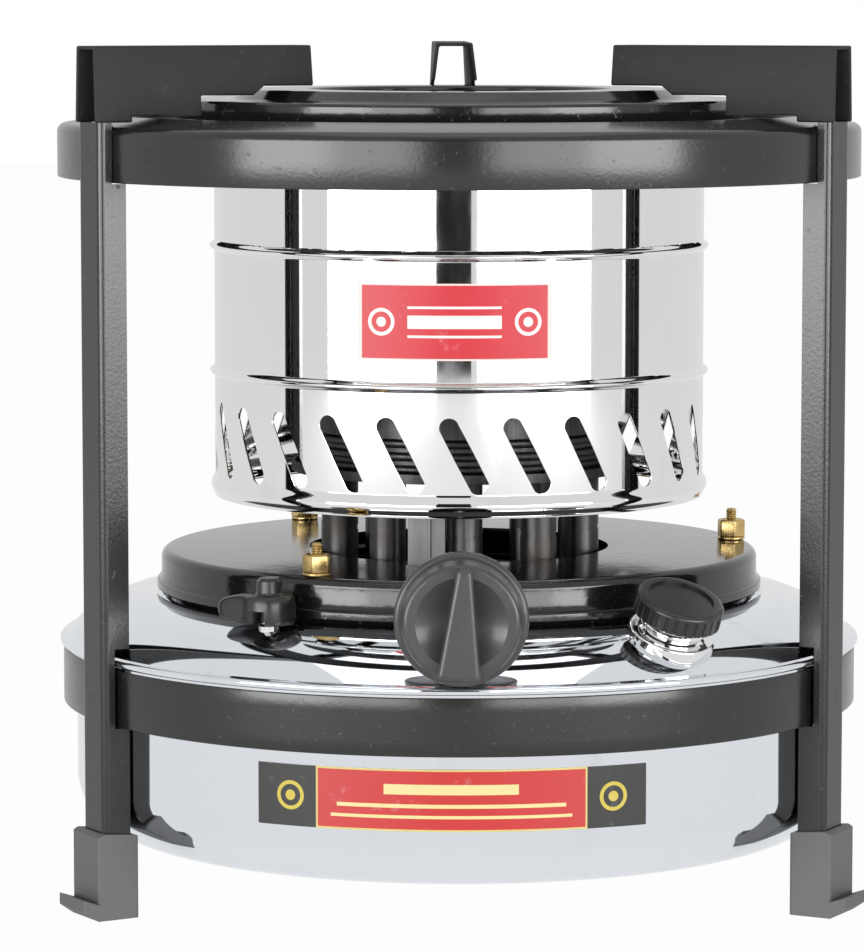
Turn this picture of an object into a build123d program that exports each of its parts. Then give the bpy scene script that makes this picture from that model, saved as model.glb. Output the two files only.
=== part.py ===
from build123d import *
import math
import os

# A kerosene wick stove. The origin is on the floor, on the stove's axis, with +Z up and the knob
# towards -Y. Lengths are in millimetres and angles in degrees.

# Shared fits and allowances
overrun = 2.0              # how far a cut runs past what it cuts
seat_gap = 0.3             # between curved pieces that sit side by side
slip_gap = 0.1             # between a fastener and its hole
running_gap = 0.05         # between a shaft and its bearing, on the radius

# Frame: legs
rear_azimuth = 91.2
left_azimuth = 211.2
right_azimuth = 331.2
leg_stand = 4.6            # a leg's outer face outside the top ring
leg_width = 15.0
leg_depth = 9.4
leg_wall = 1.2
leg_corner = 2.2
leg_top = 255.0
leg_bottom = 4.0

# Frame: moulded shoes
shoe_wall = 1.8            # outside the leg
shoe_back_wall = 2.2       # inside the leg
shoe_front_wall = 3.0
shoe_height = 27.0
shoe_back_height = 26.5
shoe_collar_height = 28.0
shoe_fillet = 1.2
toe_length = 5.2
toe_thickness = 3.6
toe_lift = 3.6

# Frame: ring bands
band_gauge = 1.2
top_ring_radius = 133.1    # the other rings, the tank and the legs follow it
top_ring_bottom = 235.9
top_ring_shoulder = 253.1
top_ring_crown = 256.2
top_ring_slope_run = 20.1  # from the ring's wall to its opening
top_ring_bend = 3.0
top_ring_lip = 3.4
top_ring_lip_bend = 1.5
lower_ring_inset = 0.8     # inside the top ring's radius
lower_ring_bottom = 61.8
lower_ring_top = 80.2
rivet_shank = 1.6          # radius
rivet_head_height = 1.3
rivet_spacer = 3.2         # radius of the spacer between leg and ring
top_rivet_height = 244.5
lower_rivet_height = 71.0

# Frame: pot supports
support_top = 279.1
support_gauge = 1.2
support_stand = 1.0            # past the legs' outer faces
support_inner_reach = 60.0
support_outer_top_width = 12.4
support_outer_foot_width = 14.6
support_inner_top_width = 12.6
support_inner_foot_width = 18.5
support_foot_depth = 12.0      # of the foot on the leg, from the leg's outer face
support_over_ring = 0.8        # height over the ring's crown
support_step_reach = 101.0
support_over_rim = 2.0         # height over the burner plate's rim
support_slope_outer = 82.0
support_slope_inner = 78.0
support_over_crown = 1.6       # height over the burner plate's middle

# Tank
tank_gauge = 0.8
pan_inset = 4.4            # inside the lower ring's radius
pan_bottom = 18.0
pan_corner = 20.0
seam_stand = 1.1           # outside the lower ring's radius
seam_width = 3.8
seam_height = 2.6
seam_fillet = 1.1
dome_flat = 92.5           # height of the dome's flat middle
dome_recess_run = 5.0      # of the slope from the flat middle up to the crest
dome_crest = 97.5
dome_crest_stand = 1.0     # outside the tray's bead
dome_edge_inset = 1.9      # inside the seam's radius
dome_drop = 14.05          # from the crest to the edge

# Filler neck and cap
filler_azimuth = 304.3
filler_share = 0.51        # of the way from the dome's crest to its edge
neck_radius = 10.5
neck_bore = 8.6
neck_height = 10.1
neck_spigot = 4.0
neck_flange_radius = 14.2
neck_flange_height = 2.2
neck_flange_skirt = 6.0
thread_pitch = 2.2
thread_depth = 0.6
thread_turns = 3
thread_lead_share = 0.6    # of a pitch, from the mouth to the first crest
thread_half_share = 0.36   # of a pitch, half the width of a crest
thread_root_share = 1.5    # of the depth, how deep a crest reaches into the neck
cap_radius = 14.0
cap_skirt_start = 7.6      # along the neck's axis, from the dome
cap_height = 6.6
cap_roof = 2.2
cap_rim_bend = 1.6
cap_dish_depth = 0.8
cap_dish_radius = 10.6
cap_bore_gap = 0.5
cap_rib_count = 28
cap_rib_radius = 0.45
gasket_thickness = 1.6
gasket_bore = 5.0

# Wick tubes and wicks
tube_count = 10
tube_circle = 42.0
tube_radius = 6.0
tube_gauge = 0.6
tube_first_azimuth = 272.0
tube_bottom = 27.0
tube_top = 138.0
tube_slot_width = 3.0
tube_bead_height = 1.6
tube_bead_depth = 0.45
tube_bead_level = 119.0
holder_radius = 5.2
holder_gauge = 0.5
holder_height = 15.0
holder_pin_width = 2.2
holder_pin_hold = 1.85     # how far the pin lies inside the carrier's edge
wick_radius = 4.6
wick_bottom = 28.0
wick_drop = 5.0            # below the tube's mouth when lowered
wick_travel = 9.0

# Gallery
gallery_gauge = 1.2
gallery_inner = 31.0
gallery_outer = 56.0
gallery_rim_height = 3.0

# Tray over the tank
tray_gauge = 1.0
tray_collar_radius = 91.2
tray_floor = 96.0
tray_floor_radius = 98.4
tray_opening = 60.0
cover_top = 112.0
cover_opening = 50.0
cover_radius = 99.5
cover_bend = 3.0
cover_bead_radius = 101.0
cover_bead_top = 103.5
cover_bead_bottom = 99.3
cover_bottom = 97.0
cover_foot_radius = 98.8
notch_gap = 0.9            # round the rack and its guide
notch_front_gap = 1.5
notch_rear_share = 0.8     # of the cover's opening, where the notch begins
stud_azimuths = (10, 125, 241)
stud_circle = 93.8
stud_radius = 1.8
stud_top = 122.5
stud_sleeve_radius = 2.6
stud_head_height = 1.6
stud_head_radius = 2.52
washer_radius = 4.6
washer_height = 1.0
nut_across = 8.4
nut_height = 5.6
nut_corner_share = 0.56    # of the width, the radius its corners are turned to
nut_bevel_share = 0.08

# Drum
drum_radius = 81.4
drum_gauge = 0.7
drum_bottom = 129.8
drum_roll_level = 133.6    # of the round roll at the drum's foot
drum_roll_height = 7.0
drum_roll_depth = 1.3
drum_beads = (171.4, 212.9)
drum_bead_depth = 1.6
drum_bead_height = 3.6
slot_count = 25
slot_phase = 0.8
slot_level = 149.6
slot_length = 26.8
slot_width = 6.5
slot_slant = 27.5
slot_cut_depth = 12.2      # each way from the drum's wall

# Burner top plate
plate_gauge = 1.0
plate_radius = 94.0
plate_rim_top = 261.2
plate_rim_height = 6.3
plate_raised_radius = 71.0
plate_slope_run = 4.0
plate_raised_top = 264.5
plate_opening = 50.0
plate_bend = 1.2
plate_crown_bend = 1.8
plate_lip_bend = 1.1

# Flame tubes
flame_gauge = 0.6
outer_flame_radius = 52.0
outer_flame_top = 260.0
inner_flame_radius = 35.4
inner_flame_top = 248.0
flame_bead_depth = 0.9
flame_bead_height = 3.0
flame_bead_pitch = 4.2
flame_bead_count = 3
flame_hole_radius = 1.7
flame_hole_rows = 6
outer_holes_per_row = 20
inner_holes_per_row = 14
flame_holes_start = 160.0
flame_holes_pitch = 13.0
spreader_radius = 40.0
spreader_height = 7.0
spreader_gauge = 0.8
spreader_skirt = 6.0
spreader_crown_share = 0.45    # of the radius, where the crown turns down
spreader_drop_share = 0.12     # of the height, how far the crown falls to there
skirt_rise_share = 2.2         # of the gauge, the skirt's hold in the crown
pin_azimuths = (30, 150, 270)
pin_radius = 1.5
pin_level = 246.0
pin_head_radius = 3.0
pin_head_height = 1.2
pin_inner_reach = 33.0

# Wick lift: rack, pinion and spindle
spindle_level = 105.0
spindle_radius = 3.0
spindle_end = 49.6         # distance of the spindle's inner end from the axis
tooth_module = 0.8
pinion_teeth = 10
pressure_angle = 25.0
tooth_addendum_share = 0.8
tooth_root_share = 1.05
tooth_backlash = 0.22
teeth_above_share = 2.5    # of a tooth's pitch, how far teeth go above the spindle
pinion_front = 53.5
pinion_width = 3.5
rack_back = 9.2            # how far left of the spindle the rack's back is
rack_bottom = 93.4
rack_top = 127.0
guide_gap = 0.3
guide_back = 16.8
guide_wall = 2.0
guide_top = 131.0
guide_front = 55.0
guide_rear = 49.2
carrier_radius = 34.8
carrier_hole = 14.0
carrier_bottom = 101.0
carrier_gauge = 2.0
arm_width = 4.0
arm_start_share = 0.84     # of the carrier's radius, where the arm joins it
bearing_gauge = 1.5
bearing_width = 16.0
bearing_height = 18.0
bearing_front = 58.6
bearing_bend = 4.8
bearing_foot = 4.5
collar_radius = 5.2
collar_width = 2.0
bracket_stand = 11.5       # outside the tray's bead
bracket_gauge = 1.4
bracket_width = 32.0
bracket_bottom = 98.6
bracket_top = 115.0
bush_radius = 5.0
bush_flange_radius = 7.0
bush_flange = 1.2
spindle_hole_gap = 0.6

# Knob
knob_back = 118.5
knob_flange_radius = 20.8
knob_face_radius = 17.8
knob_hub_radius = 9.0
knob_flange_front = 136.0
knob_flange_back = 131.6
knob_face = 145.0
knob_edge_bend = 1.5
grip_reach = 149.6
grip_top_width = 4.6
grip_foot_width = 13.4
grip_half_height = 17.2
grip_slant = 3.0
spindle_front = 141.0
cove_share = 1.5           # of the face's radius, the radius of its hollow
scoop_share = 0.45         # of the face's stand, the hollow's depth
grub_radius = 1.5
grub_length = 5.4
grub_reach = 125.0

# Tray clamp at the left
clamp_azimuth = 237.0
clamp_stand = 9.5          # outside the tray's bead
clamp_post_radius = 2.7
clamp_screw_radius = 3.65
clamp_screw_top = 109.6
clamp_screw_height = 1.8
clamp_hub_radius = 8.6
clamp_top = 107.5
clamp_hub_bottom = 99.6
clamp_nose_gap = 0.4
clamp_nose_length = 10.0
clamp_nose_width = 6.0
clamp_handle_length = 19.0
clamp_handle_bottom = 97.9
clamp_handle_width = 10.0
clamp_seat_share = 0.72        # these are shares of the hub's radius
clamp_back_share = 0.8
clamp_bow_drop_share = 0.35
clamp_tip_rise_share = 0.5
clamp_cheek_share = 0.85
clamp_bow_share = 0.55         # these two are shares of the handle's length
clamp_heel_share = 0.9

# Labels
front_azimuth = 270
label_gauge = 0.3
label_stand_off = 0.02
drum_label_width = 61.4
drum_label_height = 24.4
drum_label_level = 192.3
drum_label_shift = -1.9    # along the wall
tank_label_width = 120.6
tank_label_height = 19.4
tank_label_level = 47.6
tank_label_shift = -3.1

# Sizes that follow from those above
leg_azimuths = {"rear": rear_azimuth, "left": left_azimuth, "right": right_azimuth}
leg_reach = top_ring_radius + leg_stand            # stove axis to a leg's outer face
top_ring_opening = top_ring_radius - top_ring_slope_run
lower_ring_radius = top_ring_radius - lower_ring_inset
pan_radius = lower_ring_radius - pan_inset
seam_radius = lower_ring_radius + seam_stand
seam_bottom = lower_ring_top + tank_gauge
support_outer_reach = leg_reach + support_stand
support_foot_reach = leg_reach - support_foot_depth
dome_edge_radius = seam_radius - dome_edge_inset
dome_crest_radius = cover_bead_radius + dome_crest_stand
dome_recess_radius = dome_crest_radius - dome_recess_run
dome_run = dome_edge_radius - dome_crest_radius
dome_arc_radius = (dome_run**2 + dome_drop**2) / 2 / dome_drop
dome_arc_level = dome_crest - dome_arc_radius      # height of the arc's centre
filler_reach = dome_crest_radius + filler_share * dome_run
filler_tilt = math.degrees(math.asin(filler_share * dome_run / dome_arc_radius))
bracket_front = cover_bead_radius + bracket_stand
clamp_reach = cover_bead_radius + clamp_stand
pitch_radius = tooth_module * pinion_teeth / 2
tooth_pitch = math.pi * tooth_module
addendum = tooth_addendum_share * tooth_module
dedendum = tooth_root_share * tooth_module


def block(across, along, up):
    """A box between two planes on each axis."""
    sizes = [span[1] - span[0] for span in (across, along, up)]
    middle = [(span[0] + span[1]) / 2 for span in (across, along, up)]
    return Pos(*middle) * Box(*sizes)


def disc(radius, bottom, top):
    return Pos(0, 0, (bottom + top) / 2) * Cylinder(radius, top - bottom)


def pipe(outer, inner, bottom, top):
    return disc(outer, bottom, top) - disc(inner, bottom - overrun, top + overrun)


def turned(*outline):
    """A solid turned about the axis, from points of radius and height."""
    return revolve(Plane.XZ * Polygon(*outline, align=None), Axis.Z)


def pressed(corners, bends, gauge):
    """A sheet turned about the axis; its outer face follows the corners."""
    line = FilletPolyline(*corners, radius=bends)
    strip = make_face(offset(line, amount=gauge, side=Side.RIGHT, closed=True).edges())
    return revolve(Plane.XZ * strip, Axis.Z)


def bulge(radius, level, height, depth, back):
    """A turned ring with a round outer face, which stands out of a wall by its depth."""
    half = height / 2
    edges = [
        Polyline((radius, level - half), (radius - back, level - half),
                 (radius - back, level + half), (radius, level + half)),
        ThreePointArc((radius, level + half), (radius + depth, level), (radius, level - half)),
    ]
    return revolve(Plane.XZ * make_face(edges), Axis.Z)


def beaded_wall(radius, bottom, top, beads, gauge):
    """A sheet wall with round beads rolled into it, each with its level, height and depth."""
    wall = pipe(radius, radius - gauge, bottom, top)
    for level, height, depth in beads:
        wall += bulge(radius, level, height, depth, gauge / 2)
    for level, height, depth in beads:
        wall -= bulge(radius - gauge, level, height, depth, overrun)
    return wall


def forward(radius, near, far):
    """A round bar on the spindle's line, between two distances in front of the axis."""
    bar = Cylinder(radius, far - near)
    return Pos(0, -(near + far) / 2, spindle_level) * Rot(90, 0, 0) * bar


def spoke(radius, near, far, level):
    """A round bar along the radius, between two distances from the axis."""
    return Pos((near + far) / 2, 0, level) * Rot(0, 90, 0) * Cylinder(radius, far - near)


def arc_height(reach, inset=0):
    """Height of the dome's round face, or of a face held in by an inset, at a reach."""
    radius = dome_arc_radius - inset
    return dome_arc_level + math.sqrt(radius**2 - (reach - dome_crest_radius) ** 2)


def under_dome():
    """The room under the dome's round face, to trim what stands on it."""
    return Pos(0, 0, dome_arc_level) * Torus(dome_crest_radius, dome_arc_radius)


def group(solids):
    return Compound(solids)


def save(shape, node):
    export_step(shape, f"parts/{node}.step")


# Frame


def leg():
    inner_reach = leg_reach - leg_depth
    half = leg_width / 2
    outer = block((inner_reach, leg_reach), (-half, half), (leg_bottom, leg_top))
    corners = outer.edges().filter_by(Axis.Z).group_by(Axis.X)[-1]
    outer = fillet(corners, leg_corner)
    inside = half - leg_wall
    inner = block(
        (inner_reach - overrun, leg_reach - leg_wall),
        (-inside, inside),
        (leg_bottom - overrun, leg_top + overrun),
    )
    inner_corners = inner.edges().filter_by(Axis.Z).group_by(Axis.X)[-1]
    channel = outer - fillet(inner_corners, leg_corner - leg_wall)
    upper_notch = disc(
        top_ring_radius + seat_gap, top_ring_bottom - seat_gap, leg_top + overrun
    )
    lower_notch = disc(
        max(lower_ring_radius, seam_radius) + seat_gap,
        lower_ring_bottom - seat_gap,
        arc_height(inner_reach) + seat_gap,
    )
    hole_radius = rivet_shank + slip_gap
    holes = [
        spoke(hole_radius, inner_reach, leg_reach + overrun, level)
        for level in (top_rivet_height, lower_rivet_height)
    ]
    return channel - upper_notch - lower_notch - holes[0] - holes[1]


def shoe():
    inner_reach = leg_reach - leg_depth
    back = inner_reach - shoe_back_wall
    front = leg_reach + shoe_front_wall
    half = leg_width / 2 + shoe_wall
    slant = shoe_height - shoe_back_height
    collar = leg_reach + shoe_wall / 2
    side = Polygon(
        (back, 0),
        (front, 0),
        (front + toe_length, toe_lift),
        (front + toe_length, toe_lift + toe_thickness),
        (front, toe_thickness + toe_lift / 2),
        (front, shoe_height),
        (collar, shoe_collar_height),
        (back + shoe_back_wall / 2, shoe_back_height + slant),
        (back, shoe_back_height),
        align=None,
    )
    body = extrude(Plane.XZ * side, half, both=True)
    rims = body.edges().filter_by(Axis.Z)
    body = fillet(rims, shoe_fillet)
    slot_half = leg_width / 2 + slip_gap
    core_half = leg_width / 2 - leg_wall - slip_gap
    top = shoe_collar_height + overrun
    slot = block(
        (inner_reach - slip_gap, leg_reach + slip_gap), (-slot_half, slot_half), (leg_bottom, top)
    )
    core = block(
        (inner_reach - overrun, leg_reach - leg_wall - slip_gap),
        (-core_half, core_half),
        (leg_bottom - overrun, top + overrun),
    )
    corner = slot.edges().filter_by(Axis.Z).group_by(Axis.X)[-1]
    core_corner = core.edges().filter_by(Axis.Z).group_by(Axis.X)[-1]
    return body - (fillet(corner, leg_corner) - fillet(core_corner, leg_corner - leg_wall))


def pot_support():
    run = support_outer_reach - support_inner_reach
    drop = support_top - leg_top
    wide = support_inner_foot_width

    def section(reach, wall):
        """The channel's outline at one reach, longer than the channel above and below."""
        share = (reach - support_inner_reach) / run
        inner_share = 1 - share
        top_width = inner_share * support_inner_top_width + share * support_outer_top_width
        foot_width = inner_share * support_inner_foot_width + share * support_outer_foot_width
        slope = (foot_width - top_width) / 2 / drop
        half_top = top_width / 2 - slope * overrun - wall
        half_foot = foot_width / 2 + slope * overrun - wall
        top = support_top + overrun
        bottom = leg_top - overrun
        outline = Polygon(
            (-half_foot, bottom), (half_foot, bottom), (half_top, top), (-half_top, top), align=None
        )
        plane = Plane(origin=(reach, 0, 0), x_dir=(0, 1, 0), z_dir=(1, 0, 0))
        return plane * outline

    def channel(wall, extra):
        inner_end = support_inner_reach - extra
        outer_end = support_outer_reach + extra
        body = loft([section(inner_end, wall), section(outer_end, wall)], ruled=True)
        room = block((inner_end, outer_end), (-wide, wide), (leg_top - extra, support_top - wall))
        return body & room

    over_ring = top_ring_crown + support_over_ring
    over_rim = plate_rim_top + support_over_rim
    over_crown = plate_raised_top + support_over_crown
    low = leg_top - 2 * overrun
    near = support_inner_reach - overrun
    clearing = Polygon(
        (near, low),
        (support_foot_reach, low),
        (support_foot_reach, over_ring),
        (support_step_reach, over_ring),
        (support_step_reach, over_rim),
        (support_slope_outer, over_rim),
        (support_slope_inner, over_crown),
        (near, over_crown),
        align=None,
    )
    cutter = extrude(Plane.XZ * clearing, support_inner_foot_width, both=True)
    return channel(0, 0) - channel(support_gauge, overrun) - cutter


def top_ring():
    corners = [
        (top_ring_opening, top_ring_crown - top_ring_lip),
        (top_ring_opening, top_ring_crown),
        (top_ring_radius, top_ring_shoulder),
        (top_ring_radius, top_ring_bottom),
    ]
    band = pressed(corners, [top_ring_lip_bend, top_ring_bend], band_gauge)
    for azimuth in leg_azimuths.values():
        hole = spoke(
            rivet_shank + slip_gap,
            top_ring_radius - 3 * band_gauge,
            top_ring_radius + overrun,
            top_rivet_height,
        )
        band -= Rot(0, 0, azimuth) * hole
    return band


def lower_ring():
    band = pipe(lower_ring_radius, lower_ring_radius - band_gauge, lower_ring_bottom, lower_ring_top)
    for azimuth in leg_azimuths.values():
        hole = spoke(
            rivet_shank + slip_gap,
            lower_ring_radius - 3 * band_gauge,
            lower_ring_radius + overrun,
            lower_rivet_height,
        )
        band -= Rot(0, 0, azimuth) * hole
    return band


def frame_rivet(ring_radius, level):
    """A shouldered rivet, flush with the leg; its spacer fills the room behind the leg's web."""
    shank = spoke(rivet_shank, ring_radius - band_gauge, leg_reach, level)
    spacer = spoke(rivet_spacer, ring_radius + slip_gap, leg_reach - leg_wall, level)
    inner_wall = ring_radius - band_gauge
    inner_head = spoke(
        rivet_spacer, inner_wall - rivet_head_height, inner_wall - slip_gap, level
    )
    neck = spoke(rivet_shank, inner_wall - rivet_head_height, inner_wall, level)
    return shank + spacer + inner_head + neck


def frame_rivets():
    solids = []
    for azimuth in leg_azimuths.values():
        for ring_radius, level in (
            (top_ring_radius, top_rivet_height),
            (lower_ring_radius, lower_rivet_height),
        ):
            solids.append(Rot(0, 0, azimuth) * frame_rivet(ring_radius, level))
    return group(solids)


# Tank


def tank_pan():
    flange = seam_radius - seam_width / 4
    corners = [
        (flange, seam_bottom),
        (pan_radius - tank_gauge, seam_bottom),
        (pan_radius - tank_gauge, pan_bottom + tank_gauge),
        (0, pan_bottom + tank_gauge),
    ]
    line = FilletPolyline(*corners, radius=[tank_gauge, pan_corner - tank_gauge])
    strip = make_face(offset(line, amount=tank_gauge, side=Side.LEFT, closed=True).edges())
    return revolve(Plane.XZ * strip, Axis.Z)


def filler_place(shape):
    """Moves a shape from the upright axis to the filler's tilted axis on the dome."""
    lean = Pos(filler_reach, 0, arc_height(filler_reach)) * Rot(0, filler_tilt, 0)
    return Rot(0, 0, filler_azimuth) * lean * shape


def tube_azimuths():
    return [tube_first_azimuth + 360 / tube_count * index for index in range(tube_count)]


def dome_room(inset, bottom):
    """The room under the dome, or under a face held in by an inset, turned about the axis."""
    edge = dome_edge_radius - inset
    middle = (dome_crest_radius + edge) / 2
    lean = math.atan2(dome_crest - dome_flat, dome_recess_run)
    fold = inset * math.tan(lean / 2)
    crest = dome_crest_radius + fold
    edges = [
        Polyline((0, bottom), (edge, bottom), (edge, arc_height(edge, inset))),
        ThreePointArc(
            (edge, arc_height(edge, inset)),
            (middle, arc_height(middle, inset)),
            (crest, arc_height(crest, inset)),
        ),
        Polyline(
            (crest, arc_height(crest, inset)),
            (dome_recess_radius + fold, dome_flat - inset),
            (0, dome_flat - inset),
            (0, bottom),
        ),
    ]
    return revolve(Plane.XZ * make_face(edges), Axis.Z)


def tank_dome():
    seam_top = seam_bottom + seam_height
    shell = dome_room(0, seam_bottom) - dome_room(tank_gauge, seam_bottom - overrun)
    bead = pipe(seam_radius, seam_radius - seam_width, seam_bottom, seam_top)
    bead = fillet(bead.edges().filter_by(GeomType.CIRCLE).group_by(SortBy.RADIUS)[-1], seam_fillet)
    dome = shell + bead
    hole = disc(tube_radius + slip_gap, dome_flat - 3 * tank_gauge, dome_flat + overrun)
    for azimuth in tube_azimuths():
        dome -= Rot(0, 0, azimuth) * Pos(tube_circle, 0, 0) * hole
    neck_hole = disc(neck_radius + slip_gap, -neck_flange_skirt, neck_flange_skirt)
    return dome - filler_place(neck_hole)


def filler_neck():
    body = disc(neck_radius - thread_depth, -neck_spigot, neck_height)
    for turn in range(thread_turns):
        level = neck_height - thread_pitch * (turn + thread_lead_share)
        half = thread_pitch * thread_half_share
        root = neck_radius - thread_depth * thread_root_share
        body += turned((root, level - half), (neck_radius, level), (root, level + half))
    spigot = disc(neck_radius, -neck_spigot, neck_flange_height)
    flange = disc(neck_flange_radius, -neck_flange_skirt, neck_flange_height)
    flange = fillet(flange.edges().group_by(Axis.Z)[-1], neck_flange_height / 3)
    bore = disc(neck_bore, -neck_flange_skirt - overrun, neck_height + overrun)
    outer = filler_place(flange) - under_dome()
    return outer + filler_place(spigot + body) - filler_place(bore)


def filler_cap():
    top = cap_skirt_start + cap_height
    body = disc(cap_radius, cap_skirt_start, top)
    body = fillet(body.edges().group_by(Axis.Z)[-1], cap_rim_bend)
    ceiling = top - cap_roof
    bore = disc(neck_radius + cap_bore_gap, cap_skirt_start - overrun, ceiling)
    dish = disc(cap_dish_radius, top - cap_dish_depth, top + overrun)
    cap = body - bore - dish
    groove = disc(cap_rib_radius, cap_skirt_start - overrun, top - cap_rim_bend)
    for index in range(cap_rib_count):
        cap -= Rot(0, 0, 360 / cap_rib_count * index) * Pos(cap_radius, 0, 0) * groove
    return filler_place(cap)


def cap_gasket():
    ceiling = cap_skirt_start + cap_height - cap_roof
    return filler_place(
        pipe(neck_radius, gasket_bore, ceiling - gasket_thickness, ceiling)
    )


# Wick tubes, gallery and flame tubes


def carrier_top():
    return carrier_bottom + carrier_gauge


def wick_tube():
    """One tube with a slot towards the stove's axis for the holder's pin."""
    tube = pipe(tube_radius, tube_radius - tube_gauge, tube_bottom, tube_top)
    slot = block(
        (-tube_radius - overrun, 0),
        (-tube_slot_width / 2, tube_slot_width / 2),
        (carrier_bottom - overrun, carrier_top() + wick_travel + overrun),
    )
    groove = pipe(
        tube_radius + overrun,
        tube_radius - tube_bead_depth / 2,
        tube_bead_level,
        tube_bead_level + tube_bead_height,
    )
    return Pos(tube_circle, 0, 0) * (tube - slot - groove)


def around_tubes(piece):
    return group([Rot(0, 0, azimuth) * piece for azimuth in tube_azimuths()])


def wick_holder():
    """A sleeve that grips the wick, with a pin that lies in the carrier's edge."""
    sleeve = pipe(
        holder_radius, holder_radius - holder_gauge, carrier_bottom, carrier_bottom + holder_height
    )
    inner_end = tube_circle - carrier_radius + holder_pin_hold
    pin = block(
        (-inner_end, -holder_radius + holder_gauge),
        (-holder_pin_width / 2, holder_pin_width / 2),
        (carrier_bottom, carrier_top()),
    )
    return Pos(tube_circle, 0, 0) * (sleeve + pin)


def wick():
    top = tube_top - wick_drop
    cord = disc(wick_radius, wick_bottom, top)
    cord = fillet(cord.edges().group_by(Axis.Z)[-1], wick_radius / 3)
    return Pos(tube_circle, 0, 0) * cord


def wick_carrier():
    plate = pipe(carrier_radius, carrier_hole, carrier_bottom, carrier_top())
    slot_half = holder_pin_width / 2 + slip_gap
    slot_start = carrier_radius - holder_pin_hold - slip_gap
    slot = block(
        (slot_start, carrier_radius + overrun),
        (-slot_half, slot_half),
        (carrier_bottom - overrun, carrier_top() + overrun),
    )
    for azimuth in tube_azimuths():
        plate -= Rot(0, 0, azimuth) * slot
    arm = block(
        (-rack_back, arm_width - rack_back),
        (-pinion_front + pinion_width, -carrier_radius * arm_start_share),
        (carrier_bottom, carrier_top()),
    )
    return plate + arm


def gallery():
    floor = tube_top
    plate = pipe(gallery_outer, gallery_inner, floor, floor + gallery_gauge)
    mouth = disc(tube_radius - tube_gauge, floor - overrun, floor + gallery_gauge + overrun)
    for azimuth in tube_azimuths():
        plate -= Rot(0, 0, azimuth) * Pos(tube_circle, 0, 0) * mouth
    rim_top = floor + gallery_rim_height
    outer_rim = pipe(gallery_outer, gallery_outer - gallery_gauge, floor, rim_top)
    inner_rim = pipe(gallery_inner + gallery_gauge, gallery_inner, floor, rim_top)
    return plate + outer_rim + inner_rim


def perforated(shell, radius, per_row):
    hole = spoke(flame_hole_radius, radius - 4 * flame_gauge, radius + overrun, 0)
    for row in range(flame_hole_rows):
        level = flame_holes_start + flame_holes_pitch * row
        cutters = []
        for index in range(per_row):
            turn = 360 / per_row * (index + (row % 2) / 2)
            cutters.append(Rot(0, 0, turn) * Pos(0, 0, level) * hole)
        shell = shell - cutters
    return shell


def pin_holes(shell):
    for azimuth in pin_azimuths:
        hole = spoke(pin_radius + slip_gap, 0, drum_radius + overrun, pin_level)
        shell = shell - Rot(0, 0, azimuth) * hole
    return shell


def outer_flame_tube():
    bottom = tube_top + gallery_gauge
    first = bottom + flame_bead_height
    beads = []
    for index in range(flame_bead_count):
        beads.append((first + flame_bead_pitch * index, flame_bead_height, flame_bead_depth))
    wall = beaded_wall(outer_flame_radius, bottom, outer_flame_top, beads, flame_gauge)
    return pin_holes(perforated(wall, outer_flame_radius, outer_holes_per_row))


def inner_flame_tube():
    bottom = tube_top + gallery_gauge
    wall = pipe(inner_flame_radius, inner_flame_radius - flame_gauge, bottom, inner_flame_top)
    return pin_holes(perforated(wall, inner_flame_radius, inner_holes_per_row))


def flame_spreader():
    top = inner_flame_top + spreader_height
    skirt_radius = inner_flame_radius - flame_gauge - slip_gap
    crown_radius = spreader_radius * spreader_crown_share
    crown_level = top - spreader_height * spreader_drop_share
    crown = turned(
        (0, top - spreader_gauge),
        (0, top),
        (crown_radius, crown_level),
        (spreader_radius, inner_flame_top + spreader_gauge),
        (spreader_radius, inner_flame_top),
        (crown_radius, crown_level - spreader_gauge),
    )
    skirt_top = inner_flame_top + spreader_gauge * skirt_rise_share
    skirt = turned(
        (skirt_radius, inner_flame_top - spreader_skirt),
        (skirt_radius, skirt_top),
        (skirt_radius - spreader_gauge, skirt_top),
        (skirt_radius - spreader_gauge, inner_flame_top - spreader_skirt),
    )
    return pin_holes(crown + skirt)


def cross_pins():
    solids = []
    for azimuth in pin_azimuths:
        start = drum_radius + slip_gap
        pin = spoke(pin_radius, pin_inner_reach, start + pin_head_height, pin_level)
        head = spoke(pin_head_radius, start, start + pin_head_height, pin_level)
        solids.append(Rot(0, 0, azimuth) * (pin + head))
    return group(solids)


# Drum and burner top plate


def drum():
    top = plate_rim_top - plate_gauge
    beads = [(level, drum_bead_height, drum_bead_depth) for level in drum_beads]
    beads.append((drum_roll_level, drum_roll_height, drum_roll_depth))
    wall = beaded_wall(drum_radius, drum_bottom, top, beads, drum_gauge)
    window = Plane.YZ * Rot(0, 0, 90 + slot_slant) * SlotOverall(slot_length, slot_width)
    cutter = extrude(window, slot_cut_depth, both=True)
    cutter = Pos(drum_radius, 0, slot_level) * cutter
    for index in range(slot_count):
        wall -= Rot(0, 0, front_azimuth + slot_phase + 360 / slot_count * index) * cutter
    return pin_holes(wall)


def burner_top_plate():
    slope_end = plate_raised_radius + plate_slope_run
    corners = [
        (plate_opening, plate_raised_top - 2 * plate_gauge),
        (plate_opening, plate_raised_top),
        (plate_raised_radius, plate_raised_top),
        (slope_end, plate_rim_top),
        (plate_radius, plate_rim_top),
        (plate_radius, plate_rim_top - plate_rim_height),
    ]
    bends = [plate_lip_bend, plate_crown_bend, plate_bend, plate_bend]
    return pressed(corners, bends, plate_gauge)


# Tray


def tray_base():
    collar = pipe(
        tray_collar_radius, tray_collar_radius - tray_gauge, dome_flat, tray_floor + tray_gauge
    )
    floor = pipe(tray_floor_radius, tray_opening, tray_floor, tray_floor + tray_gauge)
    base = collar + floor
    for azimuth in stud_azimuths:
        hole = disc(stud_radius + slip_gap, tray_floor - overrun, tray_floor + 2 * overrun)
        base -= Rot(0, 0, azimuth) * Pos(stud_circle, 0, 0) * hole
    return base


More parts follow.
